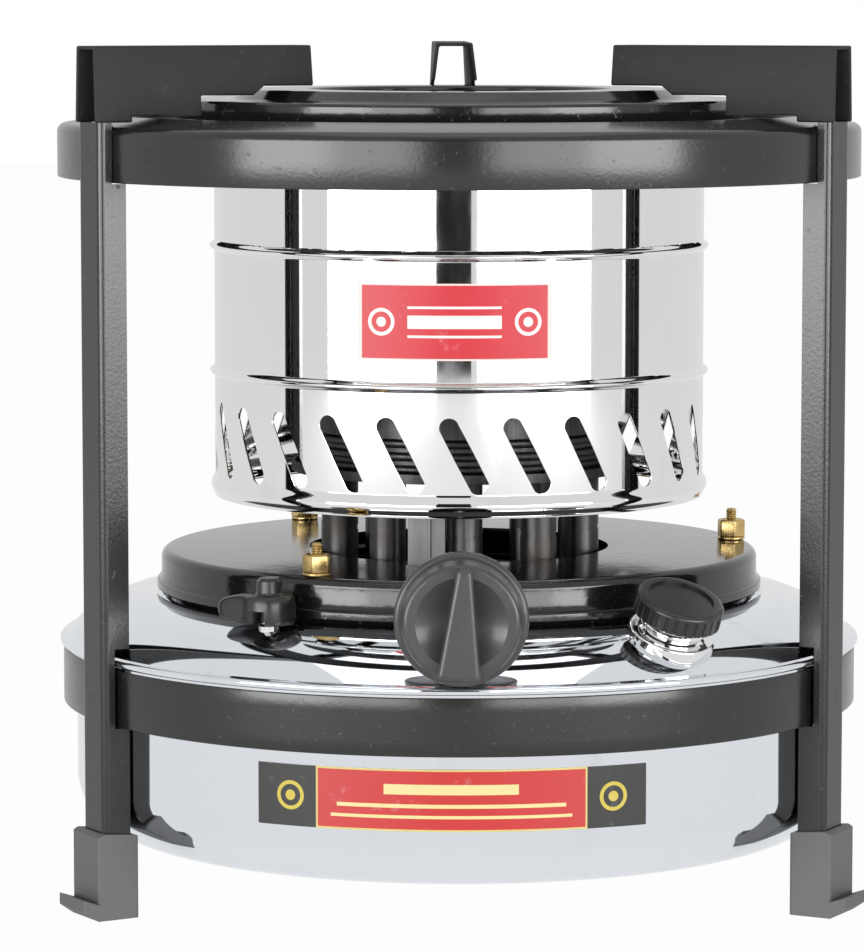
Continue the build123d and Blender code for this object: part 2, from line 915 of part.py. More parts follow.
def tray_cover():
    corners = [
        (cover_opening, cover_top),
        (cover_radius, cover_top),
        (cover_radius, cover_bead_top),
        (cover_bead_radius, cover_bead_top - (cover_bead_radius - cover_radius)),
        (cover_bead_radius, cover_bead_bottom),
        (cover_foot_radius, cover_bottom),
    ]
    small = (cover_bead_radius - cover_radius) / 2
    cover = pressed(corners, [cover_bend, small, small, small], tray_gauge)
    notch = block(
        (-guide_back - notch_gap, -pitch_radius + addendum + notch_gap),
        (-guide_front - notch_front_gap, -cover_opening * notch_rear_share),
        (cover_top - 2 * tray_gauge, cover_top + overrun),
    )
    cover -= notch
    cover -= forward(spindle_radius + spindle_hole_gap, cover_opening, cover_bead_radius + overrun)
    for azimuth in stud_azimuths:
        hole = disc(stud_radius + slip_gap, cover_top - 2 * overrun, cover_top + overrun)
        cover -= Rot(0, 0, azimuth) * Pos(stud_circle, 0, 0) * hole
    return cover


def tray_studs():
    """Screws from under the tray's floor, with a spacer sleeve between floor and cover."""
    head_bottom = tray_floor - stud_head_height
    inner_top = cover_top - tray_gauge
    solids = []
    for azimuth in stud_azimuths:
        shank = disc(stud_radius, head_bottom, stud_top)
        shank = chamfer(shank.edges().group_by(Axis.Z)[-1], stud_radius / 4)
        head = disc(stud_head_radius, head_bottom, tray_floor)
        sleeve = disc(stud_sleeve_radius, tray_floor + tray_gauge, inner_top)
        solids.append(Rot(0, 0, azimuth) * Pos(stud_circle, 0, 0) * (shank + head + sleeve))
    return group(solids)


def tray_nuts():
    solids = []
    bore = disc(stud_radius + slip_gap, cover_top - overrun, stud_top + overrun)
    for azimuth in stud_azimuths:
        washer = disc(washer_radius, cover_top, cover_top + washer_height)
        hexagon = extrude(RegularPolygon(nut_across / 2, 6, major_radius=False), nut_height)
        nut = Pos(0, 0, cover_top + washer_height) * hexagon
        cone_top = cover_top + washer_height + nut_height
        bevel = disc(nut_across * nut_corner_share, cover_top + washer_height, cone_top)
        bevel = chamfer(bevel.edges().group_by(Axis.Z)[-1], nut_across * nut_bevel_share)
        piece = washer + (nut & bevel) - bore
        solids.append(Rot(0, 0, azimuth) * Pos(stud_circle, 0, 0) * piece)
    return group(solids)


# Wick lift


def involute_point(base_radius, radius, start):
    """A point of an involute that leaves the base circle at the start angle."""
    spread = math.sqrt(max(0.0, (radius / base_radius) ** 2 - 1))
    turn = start + spread - math.atan(spread)
    return radius * math.cos(turn), radius * math.sin(turn)


def pinion():
    base_radius = pitch_radius * math.cos(math.radians(pressure_angle))
    tip = pitch_radius + addendum
    root = pitch_radius - dedendum
    half_tooth = (tooth_pitch / 2 - tooth_backlash) / 2 / pitch_radius
    spread = math.tan(math.radians(pressure_angle)) - math.radians(pressure_angle)
    start = -(half_tooth + spread)
    steps = 5
    flank = []
    for step in range(steps + 1):
        radius = base_radius + (tip - base_radius) * step / steps
        flank.append(involute_point(base_radius, radius, start))
    outline = []
    for tooth in range(pinion_teeth):
        middle = 2 * math.pi * tooth / pinion_teeth
        foot = (root * math.cos(start), root * math.sin(start))
        side = [foot] + flank
        other = [(x, -y) for x, y in reversed(side)]
        for x, y in side + other:
            outline.append(
                (
                    x * math.cos(middle) - y * math.sin(middle),
                    x * math.sin(middle) + y * math.cos(middle),
                )
            )
    wheel = extrude(Polygon(*outline, align=None), pinion_width)
    # A tooth must point at the rack, to the left of the spindle.
    wheel = Rot(0, 0, 180) * wheel
    placed = Pos(0, -pinion_front + pinion_width, spindle_level) * Rot(90, 0, 0) * wheel
    bore = forward(spindle_radius, 0, bracket_front)
    return placed - bore


def rack():
    slope = math.tan(math.radians(pressure_angle))
    half_tooth = (tooth_pitch / 2 - tooth_backlash) / 2
    pitch_line = -pitch_radius
    tip = pitch_line + addendum
    root = pitch_line - dedendum
    outline = [(-rack_back, rack_top), (-rack_back, rack_bottom)]
    first = math.floor((rack_bottom - spindle_level) / tooth_pitch)
    last = math.ceil((rack_top - spindle_level) / tooth_pitch)
    teeth_top = spindle_level + tooth_pitch * teeth_above_share
    outline.append((root, rack_bottom))
    for index in range(first, last + 1):
        centre = spindle_level + tooth_pitch * (index + 0.5)
        foot = half_tooth + dedendum * slope
        crest = half_tooth - addendum * slope
        if centre - foot < rack_bottom or centre + foot > teeth_top:
            continue
        outline += [
            (root, centre - foot),
            (tip, centre - crest),
            (tip, centre + crest),
            (root, centre + foot),
        ]
    outline.append((root, rack_top))
    blade = extrude(Plane.XZ * Polygon(*outline, align=None), pinion_width)
    return Pos(0, -pinion_front + pinion_width, 0) * blade


def rack_guide():
    left = -guide_back
    back = -rack_back - guide_gap
    post = block((left, left + guide_wall), (-guide_front, -guide_rear), (dome_flat, guide_top))
    front_wall = block((left, back), (-guide_front, guide_wall - guide_front), (dome_flat, guide_top))
    rear_wall = block((left, back), (-guide_rear - guide_wall, -guide_rear), (dome_flat, guide_top))
    return post + front_wall + rear_wall


def inner_bearing():
    half = bearing_width / 2
    plate = block(
        (-half, half),
        (-bearing_front, bearing_gauge - bearing_front),
        (dome_flat, dome_flat + bearing_height),
    )
    top_edges = plate.edges().filter_by(Axis.Y).group_by(Axis.Z)[-1]
    plate = fillet(top_edges, bearing_bend)
    foot = block(
        (-half, half),
        (-bearing_front - bearing_foot, -bearing_front),
        (dome_flat, dome_flat + bearing_gauge),
    )
    return plate + foot - forward(spindle_radius + running_gap, 0, bearing_front + overrun)


def spindle():
    bar = forward(spindle_radius, spindle_end, spindle_front)
    return chamfer(bar.edges().filter_by(GeomType.CIRCLE), spindle_radius / 6)


def spindle_collar():
    front = bearing_front + seat_gap + collar_width
    ring = forward(collar_radius, bearing_front + seat_gap, front)
    return ring - forward(spindle_radius, 0, bracket_front)


def spindle_bracket():
    """A folded plate on the tray's rim that carries the spindle's outer bush."""
    half = bracket_width / 2
    rim_reach = math.sqrt((cover_bead_radius + slip_gap) ** 2 - half**2)
    face = block(
        (-half, half), (-bracket_front, bracket_gauge - bracket_front), (bracket_bottom, bracket_top)
    )
    cheeks = block((-half, half), (-bracket_front, -rim_reach), (bracket_bottom, bracket_top))
    hollow_half = half - bracket_gauge
    cheeks -= block(
        (-hollow_half, hollow_half),
        (-bracket_front - overrun, 0),
        (bracket_bottom - overrun, bracket_top + overrun),
    )
    body = face + cheeks
    foot_height = arc_height(bracket_front)
    leg_half = half / 2
    tongue = block(
        (-leg_half, leg_half),
        (-bracket_front, bracket_gauge - bracket_front),
        (foot_height - bracket_gauge, bracket_bottom),
    )
    body = body + tongue - under_dome()
    body -= disc(cover_bead_radius + slip_gap, 0, bracket_top + overrun)
    return body - forward(bush_radius + slip_gap, cover_bead_radius, bracket_front + overrun)


def spindle_bush():
    back = bracket_front - bracket_gauge
    barrel = forward(bush_radius, back - bush_flange, bracket_front + bush_flange)
    flange = forward(bush_flange_radius, bracket_front, bracket_front + bush_flange)
    return barrel + flange - forward(spindle_radius + running_gap, back - 2 * bush_flange, knob_back)


# Knob


def knob():
    hub = forward(knob_hub_radius, knob_back, knob_flange_back)
    flange = forward(knob_flange_radius, knob_flange_back, knob_flange_front)
    face_plane = Plane(origin=(0, -knob_flange_front, spindle_level), z_dir=(0, -1, 0))
    end_plane = Plane(origin=(0, -knob_face, spindle_level), z_dir=(0, -1, 0))
    middle_radius = (knob_flange_radius + knob_face_radius) / 2
    cone = loft([face_plane * Circle(middle_radius), end_plane * Circle(knob_face_radius)])
    cone = fillet(cone.edges().group_by(Axis.Y)[0], knob_edge_bend)
    flange = fillet(flange.edges().filter_by(GeomType.CIRCLE), knob_edge_bend)
    grip_outline = Polygon(
        (-grip_top_width / 2, grip_half_height),
        (grip_top_width / 2, grip_half_height),
        (grip_foot_width / 2, -grip_half_height),
        (-grip_foot_width / 2, -grip_half_height),
        align=None,
    )
    grip_outline = fillet(grip_outline.vertices(), grip_top_width / 3)
    grip_plane = Plane(
        origin=(0, -knob_flange_front, spindle_level), x_dir=(1, 0, 0), z_dir=(0, -1, 0)
    )
    grip_outline = grip_plane * Rot(0, 0, -grip_slant) * grip_outline
    grip = extrude(grip_outline, grip_reach - knob_flange_front, dir=(0, -1, 0))
    grip = fillet(grip.faces().sort_by(Axis.Y)[0].edges(), knob_edge_bend)
    cove_radius = knob_face_radius * cove_share
    scoop_depth = (knob_face - knob_flange_front) * scoop_share
    cone -= Pos(0, scoop_depth - knob_face - cove_radius, spindle_level) * Sphere(cove_radius)
    body = hub + flange + cone + (grip & forward(knob_face_radius, knob_back, grip_reach))
    body -= forward(spindle_radius, knob_back - overrun, spindle_front)
    screw_hole = Cylinder(grub_radius, knob_hub_radius + overrun)
    centre = spindle_level - (knob_hub_radius + overrun) / 2
    return body - Pos(0, -grub_reach, centre) * screw_hole


def grub_screw():
    top = spindle_level - spindle_radius
    body = disc(grub_radius, top - grub_length, top)
    return Pos(0, -grub_reach, 0) * body


def knob_washer():
    start = bracket_front + bush_flange + seat_gap
    ring = forward(bush_flange_radius, start, knob_back - seat_gap)
    return ring - forward(spindle_radius + slip_gap, 0, knob_face)


# Tray clamp


def clamp_place(shape):
    return Rot(0, 0, clamp_azimuth) * Pos(clamp_reach, 0, 0) * shape


def clamp_post():
    """A shouldered screw that stands on the dome; its head holds the lever down."""
    foot = arc_height(clamp_reach)
    head_bottom = clamp_screw_top - clamp_screw_height
    post = disc(clamp_post_radius, foot - clamp_post_radius, head_bottom)
    seat_radius = clamp_hub_radius * clamp_seat_share
    flange = disc(seat_radius, foot - clamp_post_radius, foot + clamp_post_radius / 2)
    head = disc(clamp_screw_radius, head_bottom, clamp_screw_top)
    head = fillet(head.edges().group_by(Axis.Z)[-1], clamp_screw_radius / 3)
    seat_bottom = clamp_hub_bottom - clamp_post_radius / 2
    seat = disc(seat_radius, seat_bottom, clamp_hub_bottom)
    return clamp_place(post + flange + head + seat) - under_dome()


def clamp_lever():
    hub = disc(clamp_hub_radius, clamp_hub_bottom, clamp_top)
    nose_bottom = cover_bead_top + clamp_nose_gap
    nose = block(
        (-clamp_nose_length, 0), (-clamp_nose_width / 2, clamp_nose_width / 2), (nose_bottom, clamp_top)
    )
    tip = clamp_handle_length
    cheek = clamp_hub_radius * clamp_cheek_share
    sweep = Polygon(
        (-clamp_hub_radius * clamp_back_share, clamp_hub_bottom),
        (-clamp_hub_radius * clamp_back_share, clamp_top),
        (tip * clamp_bow_share, clamp_top - clamp_hub_radius * clamp_bow_drop_share),
        (tip, clamp_handle_bottom + clamp_hub_radius * clamp_tip_rise_share),
        (tip * clamp_heel_share, clamp_handle_bottom),
        (cheek, clamp_handle_bottom),
        (cheek, clamp_hub_bottom),
        align=None,
    )
    # The handle leaves the hub along the tray's edge, away from the knob.
    side = Plane(origin=(0, 0, 0), x_dir=(0, -1, 0), z_dir=(-1, 0, 0))
    handle = extrude(side * sweep, clamp_handle_width / 2, both=True)
    body = hub + nose + handle
    body -= disc(clamp_post_radius + running_gap, clamp_handle_bottom, clamp_top + overrun)
    return clamp_place(body)


# Labels


def wall_label(radius, width, height, level, shift):
    """A thin plate bent round the front of a wall, moved along it by the shift."""
    inner = radius + label_stand_off
    outer = inner + label_gauge
    shell = pipe(outer, inner, level - height / 2, level + height / 2)
    half = math.degrees(math.asin(width / 2 / radius))
    middle = front_azimuth + math.degrees(shift / radius)
    reach = 2 * radius
    corners = [(0, 0)]
    for azimuth in (middle - half, middle + half):
        turn = math.radians(azimuth)
        corners.append((reach * math.cos(turn), reach * math.sin(turn)))
    wedge = Polygon(*corners, align=None)
    return shell & Pos(0, 0, level - height) * extrude(wedge, 2 * height)


def build():
    os.makedirs("parts", exist_ok=True)
    for side, azimuth in leg_azimuths.items():
        save(Rot(0, 0, azimuth) * leg(), f"leg_{side}")
        save(Rot(0, 0, azimuth) * shoe(), f"foot_{side}")
        save(Rot(0, 0, azimuth) * pot_support(), f"pot_support_{side}")
    pieces = {
        "top_ring": top_ring(),
        "lower_ring": lower_ring(),
        "frame_rivets": frame_rivets(),
        "tank_pan": tank_pan(),
        "tank_dome": tank_dome(),
        "filler_neck": filler_neck(),
        "filler_cap": filler_cap(),
        "cap_gasket": cap_gasket(),
        "wick_tubes": around_tubes(wick_tube()),
        "burner_gallery": gallery(),
        "outer_flame_tube": outer_flame_tube(),
        "inner_flame_tube": inner_flame_tube(),
        "flame_spreader": flame_spreader(),
        "cross_pins": cross_pins(),
        "drum": drum(),
        "burner_top_plate": burner_top_plate(),
        "tray_base": tray_base(),
        "tray_cover": tray_cover(),
        "tray_studs": tray_studs(),
        "tray_nuts": tray_nuts(),
        "rack_guide": rack_guide(),
        "inner_bearing": inner_bearing(),
        "spindle_bracket": spindle_bracket(),
        "spindle_bush": spindle_bush(),
        "clamp_post": clamp_post(),
        "clamp_lever": clamp_lever(),
        "wick_carrier": wick_carrier(),
        "rack": rack(),
        "wick_holders": around_tubes(wick_holder()),
        "wicks": around_tubes(wick()),
        "knob": knob(),
        "spindle": spindle(),
        "pinion": pinion(),
        "spindle_collar": spindle_collar(),
        "knob_washer": knob_washer(),
        "grub_screw": grub_screw(),
        "drum_label": wall_label(
            drum_radius, drum_label_width, drum_label_height, drum_label_level, drum_label_shift
        ),
        "tank_label": wall_label(
            pan_radius, tank_label_width, tank_label_height, tank_label_level, tank_label_shift
        ),
    }
    for node, shape in pieces.items():
        save(shape, node)


build()
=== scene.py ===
import math

import bpy
import mathutils
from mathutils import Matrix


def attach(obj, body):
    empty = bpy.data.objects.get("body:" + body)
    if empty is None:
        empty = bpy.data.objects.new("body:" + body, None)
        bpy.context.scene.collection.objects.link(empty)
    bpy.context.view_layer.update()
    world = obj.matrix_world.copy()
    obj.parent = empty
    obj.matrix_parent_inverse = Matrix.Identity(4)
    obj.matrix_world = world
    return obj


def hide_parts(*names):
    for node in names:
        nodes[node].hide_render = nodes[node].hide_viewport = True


# A kerosene wick stove. Lengths in the dictionaries are in metres unless a note says otherwise.
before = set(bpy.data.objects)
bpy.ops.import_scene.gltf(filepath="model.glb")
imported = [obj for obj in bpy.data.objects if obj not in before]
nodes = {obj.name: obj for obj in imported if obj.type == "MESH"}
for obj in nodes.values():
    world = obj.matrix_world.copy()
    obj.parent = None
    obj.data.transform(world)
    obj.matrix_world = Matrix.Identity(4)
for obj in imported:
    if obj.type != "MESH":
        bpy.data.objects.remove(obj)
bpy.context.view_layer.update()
print("frame loaded:", len(nodes), "nodes")


class Shade:
    # One output of a shader node. Sums on it add Math nodes.
    def __init__(self, finish, socket):
        self.finish = finish
        self.socket = socket

    def maths(self, operation, *values):
        return self.finish.node("ShaderNodeMath", {"operation": operation}, dict(enumerate(values)))

    def __add__(self, other):
        return self.maths("ADD", self, other)

    def __radd__(self, other):
        return self.maths("ADD", other, self)

    def __sub__(self, other):
        return self.maths("SUBTRACT", self, other)

    def __rsub__(self, other):
        return self.maths("SUBTRACT", other, self)

    def __mul__(self, other):
        return self.maths("MULTIPLY", self, other)

    def __rmul__(self, other):
        return self.maths("MULTIPLY", other, self)

    def __truediv__(self, other):
        return self.maths("DIVIDE", self, other)

    def __gt__(self, other):
        return self.maths("GREATER_THAN", self, other)

    def __lt__(self, other):
        return self.maths("LESS_THAN", self, other)

    def sine(self):
        return self.maths("SINE", self)

    def size(self):
        return self.maths("ABSOLUTE", self)

    def least(self, other):
        return self.maths("MINIMUM", self, other)

    def most(self, other):
        return self.maths("MAXIMUM", self, other)

    def root(self):
        return self.maths("SQRT", self)

    def angleOver(self, other):
        return self.maths("ARCTAN2", self, other)


class Finish:
    # A procedural material, read in Object coordinates, which are metres in the part's own frame.
    def __init__(self, name):
        self.material = bpy.data.materials.new(name)
        self.material.use_nodes = True
        self.tree = self.material.node_tree
        self.tree.nodes.clear()
        self.place = self.node("ShaderNodeTexCoord", {}, {}, "Object")

    def node(self, kind, settings, values, output=0):
        made = self.tree.nodes.new(kind)
        for key, value in settings.items():
            if key == "stops":
                ramp = made.color_ramp
                while len(ramp.elements) < len(value):
                    ramp.elements.new(0.5)
                for element, (spot, colour) in zip(ramp.elements, value):
                    element.position = spot
                    element.color = colour
            else:
                setattr(made, key, value)
        for key, value in values.items():
            if isinstance(value, Shade):
                self.tree.links.new(value.socket, made.inputs[key])
            else:
                made.inputs[key].default_value = value
        return Shade(self, made.outputs[output]) if made.outputs else None

    def axes(self):
        return [self.node("ShaderNodeSeparateXYZ", {}, {0: self.place}, n) for n in range(3)]

    def stretched(self, x, y, z):
        return self.node("ShaderNodeMapping", {}, {"Vector": self.place, "Scale": (x, y, z)})

    def noise(self, scale, detail=2.0, roughness=0.5, at=None):
        values = {"Vector": at or self.place, "Scale": scale, "Detail": detail, "Roughness": roughness}
        return self.node("ShaderNodeTexNoise", {}, values)

    def cells(self, scale, at=None):
        values = {"Vector": at or self.place, "Scale": scale}
        return self.node("ShaderNodeTexVoronoi", {}, values)

    def ease(self, value, low, high):
        # 0 below low and 1 above high
        values = {0: value, 1: low, 2: high, 3: 0.0, 4: 1.0}
        return self.node("ShaderNodeMapRange", {"interpolation_type": "SMOOTHSTEP"}, values)

    def mix(self, share, first, second):
        return self.node("ShaderNodeMix", {"data_type": "RGBA"}, {0: share, 6: first, 7: second}, 2)

    def bump(self, height, distance, strength=1.0):
        values = {"Height": height, "Distance": distance, "Strength": strength}
        return self.node("ShaderNodeBump", {}, values)

    def surface(self, values):
        shader = self.node("ShaderNodeBsdfPrincipled", {}, values)
        self.node("ShaderNodeOutputMaterial", {}, {"Surface": shader})
        return self.material


def tone(red, green, blue):
    # from a screen's 0 to 255 to the shader's own scale
    def straight(value):
        share = value / 255
        return share / 12.92 if share < 0.0405 else ((share + 0.055) / 1.055) ** 2.4

    return (straight(red), straight(green), straight(blue), 1.0)


def grey(value):
    return tone(value, value, value)


def enamel(name, look):
    # stoved paint: a fine peel, faint cloudiness, dust and small rubs
    finish = Finish(name)
    cloud = finish.noise(look["cloudScale"], 3)
    peel = finish.noise(look["peelScale"], 2)
    speck = finish.ease(finish.noise(look["speckScale"], 4, 0.7), 0.62, 0.70)
    rub = finish.ease(finish.noise(look["rubScale"], 6, 0.72), 0.60, 0.74)
    colour = finish.mix(cloud, look["dark"], look["light"])
    colour = finish.mix(rub * look["rub"], colour, look["worn"])
    colour = finish.mix(speck * look["dust"], colour, grey(190))
    rough = look["rough"] + cloud * look["roughSpread"] + speck * 0.2
    return finish.surface({
        "Base Color": colour,
        "Roughness": rough,
        "Metallic": look["metallic"],
        "Specular IOR Level": look["gloss"],
        "Normal": finish.bump(peel, look["peelDepth"]),
    })


def chromePlate(name, look):
    # bright plate on pressed sheet: slight waviness, wipe marks and pinpoint haze
    finish = Finish(name)
    wave = finish.noise(look["waveScale"], 1)
    wipe = finish.noise(look["wipeScale"], 5, 0.65, finish.stretched(*look["wipeStretch"]))
    haze = finish.ease(wipe, 0.52, 0.78)
    colour = finish.mix(haze * 0.5, look["bright"], look["dull"])
    return finish.surface({
        "Base Color": colour,
        "Metallic": 1.0,
        "Roughness": look["rough"] + haze * look["haze"],
        "Normal": finish.bump(wave, look["waveDepth"]),
    })


def steelPlate(name, look):
    # plain steel with drawn lines along one axis and a heat tint that grows with height
    finish = Finish(name)
    height = finish.axes()[2]
    lines = finish.noise(look["lineScale"], 4, 0.6, finish.stretched(*look["lineStretch"]))
    stain = finish.ease(finish.noise(look["stainScale"], 5, 0.6), 0.45, 0.72)
    heat = finish.ease(height, look["heatFrom"], look["heatTo"])
    colour = finish.mix(lines, look["dark"], look["light"])
    colour = finish.mix(stain * look["stain"], colour, look["stainTone"])
    colour = finish.mix(heat * look["heat"], colour, look["heatTone"])
    return finish.surface({
        "Base Color": colour,
        "Metallic": look["metallic"],
        "Roughness": look["rough"] + lines * 0.12 + stain * 0.15,
        "Normal": finish.bump(lines, look["lineDepth"]),
    })


def moulded(name, look):
    # pressed phenolic or plastic: faint flow marks, fine grain and fingerprints
    finish = Finish(name)
    flow = finish.noise(look["flowScale"], 4, 0.6)
    grain = finish.noise(look["grainScale"], 3)
    smear = finish.ease(finish.noise(look["smearScale"], 5, 0.7), 0.5, 0.75)
    colour = finish.mix(flow, look["dark"], look["light"])
    return finish.surface({
        "Base Color": colour,
        "Roughness": look["rough"] + smear * look["smear"],
        "Specular IOR Level": look["gloss"],
        "Coat Weight": look["coat"],
        "Coat Roughness": look["coatRough"],
        "Normal": finish.bump(grain, look["grainDepth"]),
    })


def turnedBrass(name, look):
    finish = Finish(name)
    lines = finish.noise(look["lineScale"], 3, 0.6, finish.stretched(1, 1, look["lineStretch"]))
    tarnish = finish.ease(finish.noise(look["tarnishScale"], 5, 0.7), 0.42, 0.68)
    colour = finish.mix(tarnish * look["tarnish"], look["bright"], look["dull"])
    return finish.surface({
        "Base Color": colour,
        "Metallic": 1.0,
        "Roughness": look["rough"] + tarnish * 0.22,
        "Normal": finish.bump(lines, look["lineDepth"]),
    })


def wovenCotton(name, look):
    # round cord: yarns that cross in a spiral, browned at the tip
    finish = Finish(name)
    x, y, height = finish.axes()
    yarn = (height * look["yarnPitch"] + x * look["lean"] + y * look["lean"]).sine()
    cross = (height * look["yarnPitch"] - x * look["lean"] - y * look["lean"]).sine()
    weave = yarn.most(cross) * 0.5 + 0.5
    fuzz = finish.noise(look["fuzzScale"], 4)
    char = finish.ease(height + fuzz * 0.002, look["charFrom"], look["charTo"])
    # darker between the yarns: painted shade in the crevices of the weave
    colour = finish.mix(weave, look["shade"], look["yarn"])
    colour = finish.mix(char, colour, look["charTone"])
    return finish.surface({
        "Base Color": colour,
        "Roughness": 0.95,
        "Sheen Weight": look["sheen"],
        "Normal": finish.bump(weave * 0.8 + fuzz * 0.4, look["weaveDepth"]),
    })


# finishes, from the frame inwards to the wicks; tones are a screen's 0 to 255
framePaint = {
    "dark": grey(24), "light": grey(30), "worn": grey(74), "cloudScale": 14.0,
    "peelScale": 900.0, "peelDepth": 0.00003, "speckScale": 420.0, "dust": 0.03,
    "rubScale": 60.0, "rub": 0.12, "rough": 0.18, "roughSpread": 0.05, "metallic": 0.0, "gloss": 0.6,
}
supportPaint = dict(framePaint, dark=grey(30), light=grey(38), worn=grey(96), rough=0.55, gloss=0.3,
                    rub=0.20, dust=0.06)
blackEnamel = dict(framePaint, dark=grey(18), light=grey(26), worn=grey(80), rough=0.12, roughSpread=0.06,
                   rub=0.10, dust=0.10, peelScale=260.0, peelDepth=0.00006, gloss=0.6)
trayEnamel = dict(blackEnamel, rough=0.10, dust=0.16)
shoePaint = dict(framePaint, dark=grey(88), light=grey(100), rough=0.5, gloss=0.5, peelScale=1800.0,
                 peelDepth=0.00006)

drumPlate = {
    "bright": grey(236), "dull": grey(206), "waveScale": 9.0, "waveDepth": 0.00012,
    "wipeScale": 40.0, "wipeStretch": (1.0, 1.0, 0.25), "rough": 0.035, "haze": 0.10,
}
tankPlate = dict(drumPlate, waveScale=7.0, waveDepth=0.00016, bright=tone(232, 236, 241), rough=0.04)
domePlate = dict(tankPlate, wipeScale=30.0, wipeStretch=(1.0, 1.0, 1.0), haze=0.14)
neckPlate = dict(drumPlate, waveScale=40.0, waveDepth=0.00004, rough=0.07)

burnerSteel = {
    "dark": grey(70), "light": grey(128), "metallic": 1.0, "rough": 0.32,
    "lineScale": 900.0, "lineStretch": (1.0, 1.0, 0.05), "lineDepth": 0.00002,
    "stainScale": 45.0, "stain": 0.5, "stainTone": tone(70, 58, 50),
    "heatFrom": 0.20, "heatTo": 0.262, "heat": 0.5, "heatTone": tone(78, 70, 84),
}
tubeSteel = dict(burnerSteel, dark=grey(48), light=grey(96), heat=0.0, stain=0.4, rough=0.28)
liftSteel = dict(burnerSteel, dark=grey(120), light=grey(165), heat=0.0, stain=0.3, rough=0.3)
# bare steel of the cut edges, lighter than the enamel; the lightness is partly a painted highlight along the
# support edges
bareEdgeWithHighlight = dict(burnerSteel, dark=grey(96), light=grey(140), heat=0.0, stain=0.3, rough=0.4,
                   metallic=0.6)
brightSteel = dict(burnerSteel, dark=grey(165), light=grey(205), heat=0.0, stain=0.15, rough=0.2)

blackBakelite = {
    "dark": grey(54), "light": grey(66), "flowScale": 60.0, "grainScale": 1400.0, "grainDepth": 0.00002,
    "smearScale": 90.0, "smear": 0.22, "rough": 0.30, "gloss": 0.5, "coat": 0.25, "coatRough": 0.15,
}
capBakelite = dict(blackBakelite, dark=grey(24), light=grey(34))
gasketRubber = dict(capBakelite, coat=0.0, rough=0.7, gloss=0.3)
fibreBoard = dict(blackBakelite, dark=tone(86, 48, 34), light=tone(120, 70, 48), coat=0.0, rough=0.75,
                  gloss=0.3)

studBrass = {
    "bright": tone(206, 178, 120), "dull": tone(120, 98, 62), "lineScale": 1200.0, "lineStretch": 6.0,
    "lineDepth": 0.00002, "tarnishScale": 160.0, "tarnish": 0.6, "rough": 0.22,
}
# shade is the painted shade in the crevices between the yarns
wickCotton = {
    "yarn": tone(232, 222, 196), "shade": tone(176, 160, 128), "yarnPitch": 5200.0, "lean": 3000.0,
    "fuzzScale": 2600.0, "weaveDepth": 0.0005, "charFrom": 0.128, "charTo": 0.134,
    "charTone": tone(40, 30, 24), "sheen": 0.3,
}

paints = {
    "frameEnamel": enamel("frameEnamel", framePaint),
    "supportEnamel": enamel("supportEnamel", supportPaint),
    "blackEnamel": enamel("blackEnamel", blackEnamel),
    "trayEnamel": enamel("trayEnamel", trayEnamel),
    "shoeMoulding": enamel("shoeMoulding", shoePaint),
    "drumChrome": chromePlate("drumChrome", drumPlate),
    "tankChrome": chromePlate("tankChrome", tankPlate),
    "domeChrome": chromePlate("domeChrome", domePlate),
    "neckChrome": chromePlate("neckChrome", neckPlate),
    "burnerSteel": steelPlate("burnerSteel", burnerSteel),
    "tubeSteel": steelPlate("tubeSteel", tubeSteel),
    "liftSteel": steelPlate("liftSteel", liftSteel),
    "brightSteel": steelPlate("brightSteel", brightSteel),
    "knobBakelite": moulded("knobBakelite", blackBakelite),
    "capBakelite": moulded("capBakelite", capBakelite),
    "gasketRubber": moulded("gasketRubber", gasketRubber),
    "fibreBoard": moulded("fibreBoard", fibreBoard),
    "studBrass": turnedBrass("studBrass", studBrass),
    "wickCotton": wovenCotton("wickCotton", wickCotton),
    "edgeSteelAndHighlight": steelPlate("bareEdgeWithHighlight", bareEdgeWithHighlight),
}

wornBy = {
    "frameEnamel": ["leg_rear", "leg_left", "leg_right", "frame_rivets", "top_ring", "lower_ring"],
    "supportEnamel": ["pot_support_rear", "pot_support_left", "pot_support_right"],
    "blackEnamel": ["burner_top_plate", "tray_base", "spindle_bracket"],
    "trayEnamel": ["tray_cover"],
    "shoeMoulding": ["foot_rear", "foot_left", "foot_right"],
    "drumChrome": ["drum"],
    "tankChrome": ["tank_pan"],
    "domeChrome": ["tank_dome"],
    "neckChrome": ["filler_neck", "clamp_post"],
    "burnerSteel": ["burner_gallery", "outer_flame_tube", "inner_flame_tube", "flame_spreader"],
    "tubeSteel": ["wick_tubes"],
    "liftSteel": ["rack_guide", "inner_bearing", "wick_carrier", "rack", "wick_holders"],
    "brightSteel": ["cross_pins", "spindle", "spindle_collar", "grub_screw"],
    "knobBakelite": ["knob"],
    "capBakelite": ["filler_cap", "clamp_lever"],
    "gasketRubber": ["cap_gasket"],
    "fibreBoard": ["knob_washer"],
    "studBrass": ["tray_studs", "tray_nuts", "spindle_bush", "pinion"],
    "wickCotton": ["wicks"],
}
for paint, wearers in wornBy.items():
    for wearer in wearers:
        mesh = nodes[wearer].data
        mesh.materials.clear()
        mesh.materials.append(paints[paint])
print("CAD nodes finished:", sum(len(w) for w in wornBy.values()))


